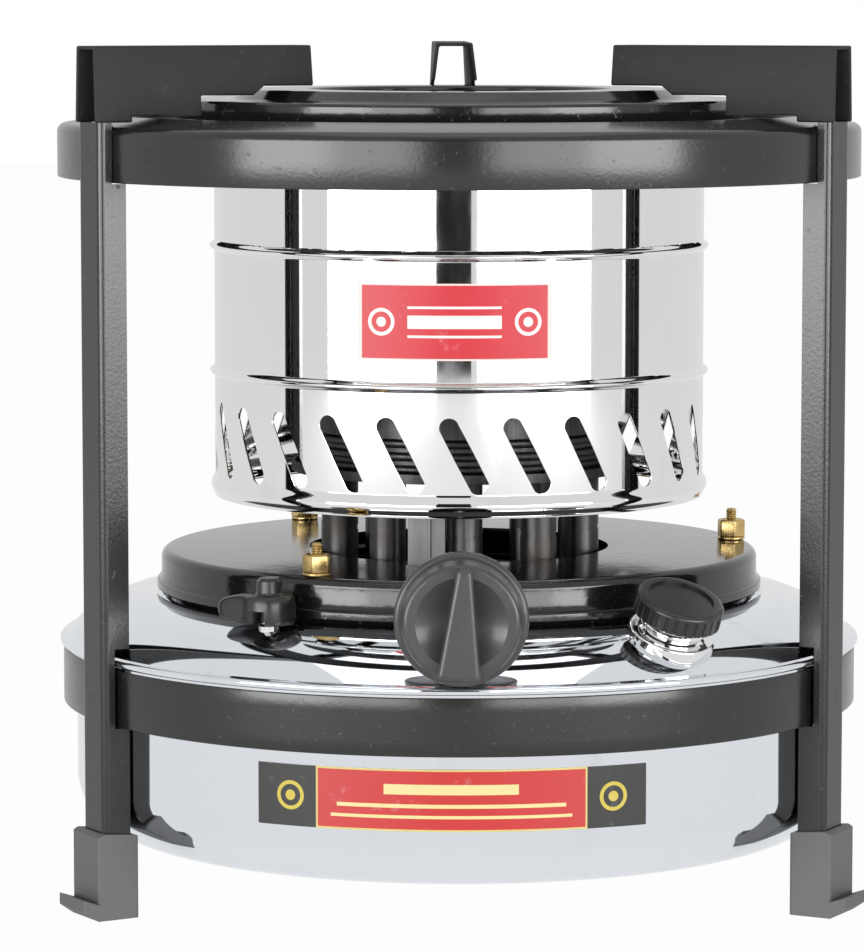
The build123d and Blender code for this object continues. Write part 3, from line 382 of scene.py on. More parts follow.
# labels: plain shapes in the places of the printed panels
drumLabel = {
    "centre": 0.1923, "radius": 0.0817, "halfWidth": 0.0307, "halfHeight": 0.0122, "shift": -0.0019,
    "field": tone(205, 22, 40), "edge": tone(240, 216, 208), "shape": tone(244, 236, 230),
    "edgeWidth": 0.0006, "ringRadius": 0.0044, "ringPlace": 0.0236,
    # bars, each with its level from the middle, half its height and half its width
    "bars": ((0.0046, 0.0004, 0.0150), (0.0, 0.0021, 0.0150), (-0.0046, 0.0004, 0.0150)),
}
tankLabel = {
    "centre": 0.0476, "radius": 0.1282, "halfWidth": 0.0603, "halfHeight": 0.0097, "shift": -0.0031,
    "field": tone(196, 38, 36), "edge": tone(214, 196, 120), "shape": tone(232, 214, 150),
    "endField": tone(28, 27, 26), "endShape": tone(206, 186, 60), "endWidth": 0.0174, "edgeWidth": 0.0006,
    "ringRadius": 0.0046,
    "bars": ((0.0034, 0.0016, 0.0210), (-0.0018, 0.0006, 0.0360), (-0.0052, 0.0005, 0.0380)),
}
roundelMark = {"hole": 0.74, "dot": 0.36}  # shares of the ring's radius


def labelPlace(finish, look):
    # distance round the wall from the front, and height from the label's middle
    x, y, z = finish.axes()
    return x.angleOver(0.0 - y) * look["radius"] - look["shift"], z - look["centre"]


def printedPanel(finish, colour):
    ink = finish.noise(1400.0, 2)
    wear = finish.ease(finish.noise(120.0, 6, 0.7), 0.60, 0.76)
    return finish.surface({
        "Base Color": finish.mix(wear * 0.2, colour, grey(214)),
        "Roughness": 0.42 + wear * 0.25,
        "Normal": finish.bump(ink, 0.00001),
    })


def roundel(side, up, radius):
    # a ring with a dot in it
    far = (side * side + up * up).root()
    ring = (far < radius) * (far > radius * roundelMark["hole"])
    return ring.most(far < radius * roundelMark["dot"])


def printedBars(away, up, bars):
    shapes = 0.0 * away
    for level, halfHeight, halfWidth in bars:
        shapes = shapes.most(((up - level).size() < halfHeight) * (away < halfWidth))
    return shapes


def drumPanel():
    look = drumLabel
    finish = Finish("drumLabelPrint")
    side, up = labelPlace(finish, look)
    away = side.size()
    inside = (look["halfWidth"] - away).least(look["halfHeight"] - up.size())
    rings = roundel(away - look["ringPlace"], up, look["ringRadius"])
    shapes = rings.most(printedBars(away, up, look["bars"]))
    colour = finish.mix(shapes, look["field"], look["shape"])
    colour = finish.mix(inside < look["edgeWidth"], colour, look["edge"])
    return printedPanel(finish, colour)


def tankPanel():
    look = tankLabel
    finish = Finish("tankLabelPrint")
    side, up = labelPlace(finish, look)
    away = side.size()
    inner = look["halfWidth"] - look["endWidth"]
    atEnd = away > inner
    rings = roundel(away - (look["halfWidth"] - look["endWidth"] / 2), up, look["ringRadius"])
    frameLine = (inner - away).least(look["halfHeight"] - up.size()).size() < look["edgeWidth"]
    colour = finish.mix(printedBars(away, up, look["bars"]), look["field"], look["shape"])
    colour = finish.mix(frameLine, colour, look["edge"])
    ends = finish.mix(rings, look["endField"], look["endShape"])
    return printedPanel(finish, finish.mix(atEnd, colour, ends))


for wearer, panel in (("drum_label", drumPanel()), ("tank_label", tankPanel())):
    nodes[wearer].data.materials.clear()
    nodes[wearer].data.materials.append(panel)
print("labels printed")


# pieces modelled over the CAD solids
def clearSelection():
    if bpy.context.object and bpy.context.object.mode != "OBJECT":
        bpy.ops.object.mode_set(mode="OBJECT")
    bpy.ops.object.select_all(action="DESELECT")


def only(piece):
    clearSelection()
    piece.select_set(True)
    bpy.context.view_layer.objects.active = piece


def settled():
    # the active object's place goes into its mesh
    bpy.ops.object.transform_apply(location=True, rotation=True, scale=True)
    return bpy.context.object


def copied(source, name):
    piece = source.copy()
    piece.data = source.data.copy()
    piece.name = name
    bpy.context.collection.objects.link(piece)
    return piece


def placed(piece, reach, azimuth, level=0.0, spin=None):
    # stands a piece at a reach from the stove's axis; it turns with the azimuth unless spin is given
    only(piece)
    piece.location = (reach * math.cos(azimuth), reach * math.sin(azimuth), level)
    piece.rotation_euler = (0, 0, azimuth if spin is None else spin)
    settled()


def block(low, high):
    clearSelection()
    middle = [(first + last) / 2 for first, last in zip(low, high)]
    bpy.ops.mesh.primitive_cube_add(size=1.0, location=middle)
    bpy.context.object.scale = [last - first for first, last in zip(low, high)]
    return settled()


def rod(sides, radius, bottom, top):
    clearSelection()
    bpy.ops.mesh.primitive_cylinder_add(vertices=sides, radius=radius, depth=top - bottom,
                                        location=(0, 0, (bottom + top) / 2))
    return settled()


def chooseWhere(piece, kind, test):
    # selects the vertices, edges or faces whose middle passes the test, in edit mode
    bpy.ops.mesh.select_mode(type=kind)
    bpy.ops.mesh.select_all(action="DESELECT")
    bpy.ops.object.mode_set(mode="OBJECT")
    mesh = piece.data
    for part in {"VERT": mesh.vertices, "EDGE": mesh.edges, "FACE": mesh.polygons}[kind]:
        if kind == "VERT":
            spots = [part.co]
        else:
            spots = [mesh.vertices[index].co for index in part.vertices]
        middle = [sum(spot[axis] for spot in spots) / len(spots) for axis in range(3)]
        part.select = bool(test(*middle))
    bpy.ops.object.mode_set(mode="EDIT")


def insetFaces(thickness, rise):
    bpy.ops.mesh.inset(thickness=thickness)
    bpy.ops.transform.translate(value=(0, 0, rise))


def arcPoints(centre, radius, first, last, steps):
    # points of radius and height along an arc, its angles from the level line
    points = []
    for step in range(steps + 1):
        turn = math.radians(first + (last - first) * step / steps)
        points.append((centre[0] + radius * math.cos(turn), centre[1] + radius * math.sin(turn)))
    return points


def applied(piece, kind, **settings):
    modifier = piece.modifiers.new(kind.title(), kind)
    for key, value in settings.items():
        setattr(modifier, key, value)
    bpy.context.view_layer.objects.active = piece
    bpy.ops.object.modifier_apply(modifier=modifier.name)


def bevelled(piece, width, segments, limit=30):
    applied(piece, "BEVEL", width=width, segments=segments, limit_method="ANGLE",
            angle_limit=math.radians(limit))


def combined(piece, operation, tool):
    applied(piece, "BOOLEAN", operation=operation, object=tool, solver="EXACT")
    bpy.data.objects.remove(tool, do_unlink=True)


def spunSheet(name, profile, gauge, sides, inside, closed=False):
    # a circle drawn out ring by ring along the profile; the sheet's other face lies towards inside,
    # a radius and height, and closed starts it from a whole disc
    clearSelection()
    radius, level = profile[0]
    bpy.ops.mesh.primitive_circle_add(vertices=sides, radius=radius, location=(0, 0, level))
    piece = settled()
    piece.name = name
    bpy.ops.object.mode_set(mode="EDIT")
    bpy.ops.mesh.select_all(action="SELECT")
    if closed:
        bpy.ops.mesh.edge_face_add()
        bpy.ops.mesh.select_mode(type="EDGE")
    for (radius, level), (nextRadius, nextLevel) in zip(profile, profile[1:]):
        bpy.ops.mesh.extrude_edges_move(TRANSFORM_OT_translate={"value": (0, 0, nextLevel - level)})
        share = nextRadius / radius
        bpy.ops.transform.resize(value=(share, share, 1.0), center_override=(0, 0, nextLevel))
    bpy.ops.mesh.select_all(action="SELECT")
    bpy.ops.mesh.remove_doubles(threshold=0.000001)
    bpy.ops.mesh.normals_make_consistent(inside=False)
    bpy.ops.object.mode_set(mode="OBJECT")
    balance = 0.0
    for face in piece.data.polygons:
        far = math.hypot(face.center.x, face.center.y)
        flat = (face.normal.x * face.center.x + face.normal.y * face.center.y) / max(far, 0.001)
        balance += face.area * (flat * (far - inside[0]) + face.normal.z * (face.center.z - inside[1]))
    if balance < 0:
        turnedOver()
    if gauge:
        applied(piece, "SOLIDIFY", thickness=gauge, offset=-1.0, use_even_offset=True)
    return piece


def turnedOver():
    bpy.ops.object.mode_set(mode="EDIT")
    bpy.ops.mesh.select_all(action="SELECT")
    bpy.ops.mesh.flip_normals()
    bpy.ops.object.mode_set(mode="OBJECT")


def finished(piece, paint, body, replaced, edgePaint=None):
    only(piece)
    bpy.ops.object.shade_smooth_by_angle(angle=math.radians(32))
    piece.data.materials.clear()
    piece.data.materials.append(paints[paint])
    if edgePaint:
        piece.data.materials.append(paints[edgePaint])
    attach(piece, body)
    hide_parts(*replaced)
    print("modelled:", piece.name)


domeSheet = {
    "start": 0.0300, "flat": 0.0925, "recess": 0.0960, "recessBend": 0.0020, "crestRadius": 0.1020,
    "crest": 0.0975, "crestBend": 0.0030, "arc": 0.0380, "arcEnd": 40.0, "beadRadius": 0.1334,
    "beadBottom": 0.0810, "beadTop": 0.0836, "beadBend": 0.0012, "tuck": 0.0030, "gauge": 0.0008,
    "sides": 256, "inside": (0.06, 0.05),
}


def tankDome():
    look = domeSheet
    bend, recessBend, crestBend = look["beadBend"], look["recessBend"], look["crestBend"]
    beadTurn = (look["beadRadius"] - bend, look["beadTop"] - bend)
    beadFoot = (look["beadRadius"] - bend, look["beadBottom"] + bend)
    profile = [(look["start"], look["flat"]), (look["recess"], look["flat"])]
    profile += arcPoints((look["recess"], look["flat"] + recessBend), recessBend, -90, -45, 5)[1:]
    profile += arcPoints((look["crestRadius"], look["crest"] - crestBend), crestBend, 135, 90, 6)
    middle = (look["crestRadius"], look["crest"] - look["arc"])
    profile += arcPoints(middle, look["arc"], 90, look["arcEnd"], 40)[1:]
    profile += arcPoints(beadTurn, bend, 90, 0, 8)
    profile += arcPoints(beadFoot, bend, 0, -90, 8)
    profile.append((look["beadRadius"] - look["tuck"], look["beadBottom"]))
    dome = spunSheet("tankDome", profile, look["gauge"], look["sides"], look["inside"], True)
    finished(dome, "domeChrome", "root", ["tank_dome"])


panSheet = {
    "start": 0.0400, "radius": 0.1279, "bottom": 0.0180, "corner": 0.0200, "top": 0.0802, "neckBend": 0.0016,
    "flange": 0.1318, "gauge": 0.0008, "sides": 256, "inside": (0.05, 0.05),
}


def tankPan():
    look = panSheet
    bend = look["neckBend"]
    corner = (look["radius"] - look["corner"], look["bottom"] + look["corner"])
    profile = [(look["start"], look["bottom"])]
    profile += arcPoints(corner, look["corner"], -90, 0, 28)
    profile += arcPoints((look["radius"] + bend, look["top"] - bend), bend, 180, 90, 6)
    profile.append((look["flange"], look["top"]))
    pan = spunSheet("tankPan", profile, look["gauge"], look["sides"], look["inside"], True)
    finished(pan, "tankChrome", "root", ["tank_pan"])


bandSheet = {
    "radius": 0.1323, "bottom": 0.0618, "top": 0.0802, "gauge": 0.0012, "bend": 0.0004, "rows": 4,
    "sides": 256, "inside": (0.0, 0.071),
}


def lowerRing():
    look = bandSheet
    row = (look["top"] - look["bottom"]) / look["rows"]
    profile = [(look["radius"], look["bottom"] + row * number) for number in range(look["rows"] + 1)]
    band = spunSheet("lowerRing", profile, look["gauge"], look["sides"], look["inside"])
    bevelled(band, look["bend"], 3)
    finished(band, "frameEnamel", "root", ["lower_ring"])


topBand = {
    "radius": 0.1331, "bottom": 0.2359, "shoulder": 0.2531, "crown": 0.2562, "opening": 0.1130,
    "bend": 0.0030, "lip": 0.0034, "lipBend": 0.0015, "gauge": 0.0012, "edge": 0.0004, "edgeLimit": 50,
    "sides": 256, "inside": (0.118, 0.240),
}


def topRing():
    look = topBand
    lean = math.degrees(math.atan2(look["crown"] - look["shoulder"], look["radius"] - look["opening"]))
    bend, lipBend = look["bend"], look["lipBend"]
    fall = bend * math.tan(math.radians((90 - lean) / 2))
    lipFall = lipBend * math.tan(math.radians((90 + lean) / 2))
    profile = [(look["radius"], look["bottom"]), (look["radius"], (look["bottom"] + look["shoulder"]) / 2)]
    profile += arcPoints((look["radius"] - bend, look["shoulder"] - fall), bend, 0, 90 - lean, 10)
    profile += arcPoints((look["opening"] + lipBend, look["crown"] - lipFall), lipBend, 90 - lean, 180, 8)
    profile.append((look["opening"], look["crown"] - look["lip"]))
    band = spunSheet("topRing", profile, look["gauge"], look["sides"], look["inside"])
    bevelled(band, look["edge"], 3, look["edgeLimit"])
    finished(band, "frameEnamel", "root", ["top_ring"])


plateSheet = {
    "opening": 0.0500, "raised": 0.0710, "raisedTop": 0.2645, "slopeRun": 0.0040, "rim": 0.0940,
    "rimTop": 0.2612, "rimHeight": 0.0063, "bend": 0.0012, "lip": 0.0020, "lipBend": 0.0011,
    "slopeBend": 0.0024, "slopeStart": 0.0012, "gauge": 0.0010, "edge": 0.0003, "edgeLimit": 50,
    "sides": 224, "inside": (0.075, 0.250),
}


def burnerPlate():
    look = plateSheet
    bend, lip, slope, start = look["bend"], look["lipBend"], look["slopeBend"], look["slopeStart"]
    foot = look["raised"] + look["slopeRun"] + start
    profile = [(look["opening"], look["raisedTop"] - look["lip"])]
    profile += arcPoints((look["opening"] + lip, look["raisedTop"] - lip), lip, 180, 90, 6)
    profile += arcPoints((look["raised"] - start, look["raisedTop"] - slope), slope, 90, 50, 6)
    profile += arcPoints((foot, look["rimTop"] + slope), slope, -130, -90, 6)
    profile += arcPoints((look["rim"] - bend, look["rimTop"] - bend), bend, 90, 0, 8)
    profile.append((look["rim"], look["rimTop"] - look["rimHeight"]))
    plate = spunSheet("burnerPlate", profile, look["gauge"], look["sides"], look["inside"])
    bevelled(plate, look["edge"], 2, look["edgeLimit"])
    finished(plate, "blackEnamel", "root", ["burner_top_plate"])


traySheet = {
    "opening": 0.0500, "top": 0.1120, "radius": 0.0995, "bend": 0.0030, "beadTop": 0.1035, "beadRise": 0.0003,
    "beadBend": 0.0010, "beadDrop": 0.0024, "beadRadius": 0.1010, "beadBottom": 0.0993, "foot": 0.0988,
    "footLevel": 0.0970, "gauge": 0.0010, "notchLow": (-0.0177, -0.0565, 0.1090),
    "notchHigh": (-0.0024, -0.0400, 0.1150), "sides": 224, "inside": (0.06, 0.09),
}


def trayCover():
    look = traySheet
    bend, beadBend = look["bend"], look["beadBend"]
    profile = [(look["opening"], look["top"])]
    profile += arcPoints((look["radius"] - bend, look["top"] - bend), bend, 90, 0, 12)
    profile.append((look["radius"], look["beadTop"] + look["beadRise"]))
    bead = (look["beadRadius"] - beadBend, look["beadTop"] - look["beadDrop"])
    profile += arcPoints(bead, beadBend, 80, 0, 6)
    profile.append((look["beadRadius"], look["beadBottom"]))
    profile.append((look["foot"], look["footLevel"]))
    cover = spunSheet("trayCover", profile, look["gauge"], look["sides"], look["inside"])
    combined(cover, "DIFFERENCE", block(look["notchLow"], look["notchHigh"]))
    finished(cover, "trayEnamel", "root", ["tray_cover"])


drumSheet = {
    "radius": 0.0814, "gauge": 0.0007, "bottom": 0.1298, "top": 0.2602, "footTuck": 0.0004,
    # rolls, each with its level, height and depth
    "rolls": ((0.1336, 0.0070, 0.0013), (0.1714, 0.0036, 0.0016), (0.2129, 0.0036, 0.0016)),
    "rollSteps": 12, "rollPower": 1.4, "close": 0.0002,
    "slots": 25, "phase": 0.8, "level": 0.1496, "length": 0.0268, "width": 0.0065, "slant": 27.5,
    "punchDepth": 0.02, "lip": 0.00035, "lipLimit": 60, "skin": 0.00003, "sides": 300, "inside": (0.0, 0.19),
}


def rollPoints(look, level, height, depth):
    # a round roll with a soft foot; a ring close to each side keeps the wall beyond it straight in shading
    side = height / 2 + look["close"]
    points = [(look["radius"], level - side)]
    for step in range(look["rollSteps"] + 1):
        share = step / look["rollSteps"]
        rise = depth * math.sin(math.pi * share) ** look["rollPower"]
        points.append((look["radius"] + rise, level - height / 2 + height * share))
    return points + [(look["radius"], level + side)]


def slotPunches(look):
    # one round-ended punch, copied round the wall at a slant
    half = (look["length"] - look["width"]) / 2
    clearSelection()
    bpy.ops.mesh.primitive_cylinder_add(vertices=24, radius=look["width"] / 2, depth=look["punchDepth"],
                                        location=(0, 0, 0), rotation=(math.pi / 2, 0, 0))
    punch = settled()
    bpy.ops.object.mode_set(mode="EDIT")
    for side in (1, -1):
        chooseWhere(punch, "VERT", lambda x, y, z: z * side > 0.00001)
        bpy.ops.transform.translate(value=(0, 0, half * side))
    bpy.ops.object.mode_set(mode="OBJECT")
    punches = []
    lean = mathutils.Matrix.Rotation(math.radians(-look["slant"]), 4, "Y")
    out = mathutils.Matrix.Translation((0, -look["radius"], look["level"]))
    for index in range(look["slots"]):
        turn = math.radians(look["phase"] + 360 / look["slots"] * index)
        copy = copied(punch, "punch")
        copy.matrix_world = mathutils.Matrix.Rotation(turn, 4, "Z") @ out @ lean
        punches.append(copy)
    bpy.data.objects.remove(punch, do_unlink=True)
    only(punches[0])
    for copy in punches:
        copy.select_set(True)
    bpy.ops.object.join()
    return bpy.context.object


def drumWall():
    look = drumSheet
    profile = [(look["radius"] - look["footTuck"], look["bottom"])]
    for roll in look["rolls"]:
        profile += rollPoints(look, *roll)
    profile.append((look["radius"], look["top"]))
    wall = spunSheet("drumWall", profile, look["gauge"], look["sides"], look["inside"])
    only(wall)
    bpy.ops.object.shade_smooth_by_angle(angle=math.radians(32))
    uncut = copied(wall, "uncutWall")
    combined(wall, "DIFFERENCE", slotPunches(look))
    bevelled(wall, look["lip"], 2, look["lipLimit"])
    finished(wall, "drumChrome", "root", ["drum"])
    # the wall between the slots keeps the even shading of the uncut sheet
    applied(wall, "DATA_TRANSFER", object=uncut, use_loop_data=True, data_types_loops={"CUSTOM_NORMAL"},
            loop_mapping="POLYINTERP_NEAREST", use_max_distance=True, max_distance=look["skin"])
    bpy.data.objects.remove(uncut, do_unlink=True)


supportSheet = {
    "azimuths": {"Rear": 91.2, "Left": 211.2, "Right": 331.2}, "top": 0.2791, "foot": 0.2550,
    "inner": 0.0600, "outer": 0.1387, "innerTop": 0.0126, "innerFoot": 0.0185, "outerTop": 0.0124,
    "outerFoot": 0.0146, "gauge": 0.0012, "bend": 0.0009, "bendLimit": 40, "footReach": 0.1257,
    "overRing": 0.2570, "stepReach": 0.1010, "overRim": 0.2632, "slopeOuter": 0.0820, "slopeInner": 0.0780,
    "overCrown": 0.2661, "near": 0.0002,
}


def potSupports():
    # one folded channel: a strip whose sides are drawn down, parted by planes and stepped over the rings
    look = supportSheet
    middle = (look["inner"] + look["outer"]) / 2
    foot = look["foot"] + look["near"]
    clearSelection()
    bpy.ops.mesh.primitive_plane_add(size=1.0, location=(middle, 0, look["top"]))
    first = bpy.context.object
    first.name = "potSupport"
    first.scale = (look["outer"] - look["inner"], look["outerTop"], 1.0)
    settled()
    bpy.ops.object.mode_set(mode="EDIT")
    chooseWhere(first, "VERT", lambda x, y, z: x < middle)
    bpy.ops.transform.resize(value=(1, look["innerTop"] / look["outerTop"], 1), center_override=(0, 0, 0))
    chooseWhere(first, "EDGE", lambda x, y, z: abs(y) > look["near"])
    bpy.ops.mesh.extrude_edges_move(TRANSFORM_OT_translate={"value": (0, 0, look["foot"] - look["top"])})
    chooseWhere(first, "VERT", lambda x, y, z: z < foot and x < middle)
    bpy.ops.transform.resize(value=(1, look["innerFoot"] / look["innerTop"], 1), center_override=(0, 0, 0))
    chooseWhere(first, "VERT", lambda x, y, z: z < foot and x > middle)
    bpy.ops.transform.resize(value=(1, look["outerFoot"] / look["outerTop"], 1), center_override=(0, 0, 0))
    for reach in (look["slopeInner"], look["slopeOuter"], look["stepReach"], look["footReach"]):
        bpy.ops.mesh.select_all(action="SELECT")
        bpy.ops.mesh.bisect(plane_co=(reach, 0, 0), plane_no=(1, 0, 0))
    for level in (look["overCrown"], look["overRim"], look["overRing"]):
        bpy.ops.mesh.select_all(action="SELECT")
        bpy.ops.mesh.bisect(plane_co=(0, 0, level), plane_no=(0, 0, 1))

    def belowStep(x, y, z):
        if x < look["slopeInner"]:
            return z < look["overCrown"]
        if x < look["stepReach"]:
            return z < look["overRim"]
        return x < look["footReach"] and z < look["overRing"]

    def atSlopeFoot(x, y, z):
        return abs(x - look["slopeInner"]) < look["near"] and z < look["overRim"] + look["near"]

    chooseWhere(first, "FACE", belowStep)
    bpy.ops.mesh.delete(type="FACE")
    chooseWhere(first, "VERT", atSlopeFoot)
    bpy.ops.mesh.dissolve_verts()
    bpy.ops.mesh.select_all(action="SELECT")
    bpy.ops.mesh.normals_make_consistent(inside=False)
    bpy.ops.object.mode_set(mode="OBJECT")
    if sum(face.normal.z * face.area for face in first.data.polygons) < 0:
        turnedOver()
    # the cut rims take the lighter bare-steel finish, partly a painted highlight on the edges
    applied(first, "SOLIDIFY", thickness=look["gauge"], offset=-1.0, use_even_offset=True,
            material_offset_rim=1)
    bevelled(first, look["bend"], 3, look["bendLimit"])
    for side, azimuth in look["azimuths"].items():
        piece = copied(first, "potSupport" + side)
        placed(piece, 0.0, math.radians(azimuth))
        finished(piece, "supportEnamel", "root", ["pot_support_" + side.lower()], "edgeSteelAndHighlight")
    bpy.data.objects.remove(first, do_unlink=True)


studTurning = {
    "azimuths": (10, 125, 241), "circle": 0.0938, "top": 0.1225, "coverTop": 0.1120, "floor": 0.0944,
    "core": 0.0004, "foot": 0.0024, "footHeight": 0.0014, "crest": 0.00180, "root": 0.00150, "tip": 0.00130,
    "pitch": 0.0008, "sides": 28, "inside": (0.0, 0.108), "washer": 0.0046, "washerHeight": 0.0010,
    "washerSides": 32, "across": 0.0084, "nutHeight": 0.0056, "bend": 0.0004, "bendLimit": 20, "near": 0.0002,
    "collar": 0.0007, "collarRise": 0.0004, "cup": 0.0014, "cupFall": -0.0006, "spin": 0.4,
}


def trayStuds():
    look = studTurning
    shank = look["floor"] + look["footHeight"]
    profile = [(look["core"], look["floor"]), (look["foot"], look["floor"]), (look["foot"], shank)]
    profile += [(look["crest"], shank + look["near"]), (look["crest"], look["coverTop"])]
    level = look["coverTop"]
    while level < look["top"] - 2 * look["pitch"]:
        profile.append((look["root"], level + look["pitch"] / 2))
        profile.append((look["crest"], level + look["pitch"]))
        level += look["pitch"]
    profile += [(look["tip"], look["top"]), (look["core"], look["top"])]
    stud = spunSheet("trayStud", profile, 0.0, look["sides"], look["inside"], True)
    washerTop = look["coverTop"] + look["washerHeight"]
    nutTop = washerTop + look["nutHeight"]
    nut = rod(6, look["across"] / math.sqrt(3), washerTop, nutTop)
    bpy.ops.object.mode_set(mode="EDIT")
    chooseWhere(nut, "FACE", lambda x, y, z: z > nutTop - look["bend"])
    insetFaces(look["collar"], look["collarRise"])
    insetFaces(look["cup"], look["cupFall"])
    bpy.ops.object.mode_set(mode="OBJECT")
    bevelled(nut, look["bend"], 3, look["bendLimit"])
    washer = rod(look["washerSides"], look["washer"], look["coverTop"], washerTop)
    bevelled(washer, look["washerHeight"] * 0.3, 3)
    for piece in (stud, nut):
        piece.select_set(True)
    bpy.ops.object.join()
    washer.name = "studAndNut"
    for number, azimuth in enumerate(look["azimuths"]):
        turn = math.radians(azimuth)
        piece = copied(washer, "trayStud" + str(number + 1))
        placed(piece, look["circle"], turn, 0.0, turn + number * look["spin"])
        finished(piece, "studBrass", "root", ["tray_studs", "tray_nuts"])
    bpy.data.objects.remove(washer, do_unlink=True)


cordWick = {
    "count": 10, "first": 272.0, "circle": 0.0420, "radius": 0.0046, "bottom": 0.0280, "top": 0.1330,
    "strands": 12, "turns": 5.0, "hollow": 0.90, "furrow": 0.06, "rows": 42, "spin": 0.7,
    # the two insets of the tip: a share of the radius, and the rise of the faces within
    "tip": ((0.25, -0.0002), (0.35, -0.0005)),
}


def cottonWicks():
    # a round cord of laid strands; the furrows are pressed in before it is twisted
    look = cordWick
    height = look["top"] - look["bottom"]
    cord = rod(look["strands"] * 4, look["radius"], 0.0, height)
    cord.name = "wickCord"
    bpy.ops.object.mode_set(mode="EDIT")
    chooseWhere(cord, "FACE", lambda x, y, z: z > height * 0.99)
    for share, rise in look["tip"]:
        insetFaces(look["radius"] * share, rise)

    def furrow(x, y, z):
        strand = math.atan2(y, x) / (2 * math.pi) * look["strands"]
        return abs(strand - round(strand)) < look["furrow"] and math.hypot(x, y) > look["radius"] * 0.9

    chooseWhere(cord, "VERT", furrow)
    bpy.ops.transform.resize(value=(look["hollow"], look["hollow"], 1), center_override=(0, 0, 0))
    for row in range(1, look["rows"]):
        bpy.ops.mesh.select_all(action="SELECT")
        bpy.ops.mesh.bisect(plane_co=(0, 0, height * row / look["rows"]), plane_no=(0, 0, 1))
    bpy.ops.object.mode_set(mode="OBJECT")
    applied(cord, "SIMPLE_DEFORM", deform_method="TWIST", deform_axis="Z",
            angle=math.radians(360 * look["turns"]))
    for number in range(look["count"]):
        turn = math.radians(look["first"] + 360 / look["count"] * number)
        piece = copied(cord, "wick" + str(number + 1))
        placed(piece, look["circle"], turn, look["bottom"], number * look["spin"])
        finished(piece, "wickCotton", "wick_lift", ["wicks"])
    bpy.data.objects.remove(cord, do_unlink=True)


trayClamp = {
    "azimuth": 237.0, "reach": 0.1105, "hub": 0.0086, "bottom": 0.0979, "top": 0.1074, "bore": 0.00275,
    "boreBottom": 0.0897, "boreTop": 0.1097, "handle": 0.0100, "drop": 0.0010, "crownInset": 0.0022,
    "footInset": 0.0005, "noseLength": 0.0100, "noseWidth": 0.0060, "noseBottom": 0.1039, "noseTop": 0.1068,
    "noseBend": 0.0009, "windowOut": 0.0096, "windowTop": 0.1027, "windowWidth": 0.0066,
    "windowBottom": 0.0927, "boss": 0.0042, "bossTop": 0.1126, "bossSides": 40,
    "post": 0.0027, "postFoot": 0.0035, "foot": 0.0935, "footHeight": 0.0038, "footEase": 0.0008,
    "postTop": 0.1095, "core": 0.0004, "postSides": 40,
}


def clampLever():
    # the hub's side faces are drawn out into the handle, and subdivision rounds the whole
    look = trayClamp
    hub, handle = look["hub"], look["handle"]
    level = (look["top"] + look["bottom"]) / 2
    lever = rod(16, hub, look["bottom"], look["top"])
    lever.name = "clampLever"
    bpy.ops.object.mode_set(mode="EDIT")
    chooseWhere(lever, "FACE", lambda x, y, z: y < -hub * 0.66 and abs(x) < hub * 0.7)
    bpy.ops.mesh.extrude_region_move(TRANSFORM_OT_translate={"value": (0, -handle * 0.6, -look["drop"] / 2)})
    bpy.ops.transform.resize(value=(0.86, 0.5, 0.8), center_override=(0, -hub - handle * 0.6, level))
    bpy.ops.mesh.extrude_region_move(TRANSFORM_OT_translate={"value": (0, -handle * 0.4, 0)})
    bpy.ops.transform.resize(value=(0.7, 0.5, 0.7), center_override=(0, -hub - handle, level - look["drop"]))
    chooseWhere(lever, "FACE", lambda x, y, z: z > look["top"] - 0.0001)
    bpy.ops.mesh.inset(thickness=look["crownInset"])
    chooseWhere(lever, "FACE", lambda x, y, z: z < look["bottom"] + 0.0001 and y > -hub)
    bpy.ops.mesh.inset(thickness=look["footInset"])
    bpy.ops.object.mode_set(mode="OBJECT")
    applied(lever, "SUBSURF", levels=2, render_levels=2)
    noseHalf, windowHalf = look["noseWidth"] / 2, look["windowWidth"] / 2
    nose = block((-look["noseLength"], -noseHalf, look["noseBottom"]), (0, noseHalf, look["noseTop"]))
    bevelled(nose, look["noseBend"], 3)
    combined(lever, "UNION", nose)
    boss = spunSheet("clampBoss", [
        (look["core"], level), (look["boss"] + 0.001, level), (look["boss"] + 0.0008, look["top"] - 0.0004),
        (look["boss"], look["top"] + 0.0006), (look["boss"] - 0.0002, look["bossTop"] - 0.001),
        (look["boss"] - 0.0012, look["bossTop"]), (look["core"], look["bossTop"]),
    ], 0.0, look["bossSides"], (0.0, 0.11), True)
    bpy.ops.object.mode_set(mode="EDIT")
    bpy.ops.mesh.select_all(action="SELECT")
    bpy.ops.mesh.select_non_manifold()
    bpy.ops.mesh.edge_face_add()
    bpy.ops.object.mode_set(mode="OBJECT")
    combined(lever, "UNION", boss)
    combined(lever, "DIFFERENCE", rod(32, look["bore"], look["boreBottom"], look["boreTop"]))
    window = block((0, -windowHalf, look["windowBottom"]), (look["windowOut"], windowHalf, look["windowTop"]))
    combined(lever, "DIFFERENCE", window)
    placed(lever, look["reach"], math.radians(look["azimuth"]))
    finished(lever, "capBakelite", "clamp", ["clamp_lever"])


def clampPost():
    look = trayClamp
    core, foot, post = look["core"], look["foot"], look["post"]
    shoulder = foot + look["footHeight"]
    profile = [(core, foot), (look["postFoot"], foot), (look["postFoot"], shoulder)]
    profile += [(post, shoulder + look["footEase"]), (post, look["postTop"]), (core, look["postTop"])]
    piece = spunSheet("clampPost", profile, 0.0, look["postSides"], (0.0, 0.104), True)
    placed(piece, look["reach"], math.radians(look["azimuth"]))
    finished(piece, "neckChrome", "root", ["clamp_post"])


fillerTurning = {
    "azimuth": 304.3, "reach": 0.117045, "tilt": 23.33, "bore": 0.0086, "radius": 0.0105, "root": 0.0099,
    "height": 0.0101, "pitch": 0.0022, "flange": 0.0140, "flangeTop": 0.0022, "foot": -0.0040,
    "footEase": 0.0006, "flangeBend": 0.0010, "flank": 0.0004, "threadStart": 0.0010, "mouthBend": 0.0006,
    "mouthEase": 0.0004, "sides": 96, "inside": (0.0097, 0.004),
}


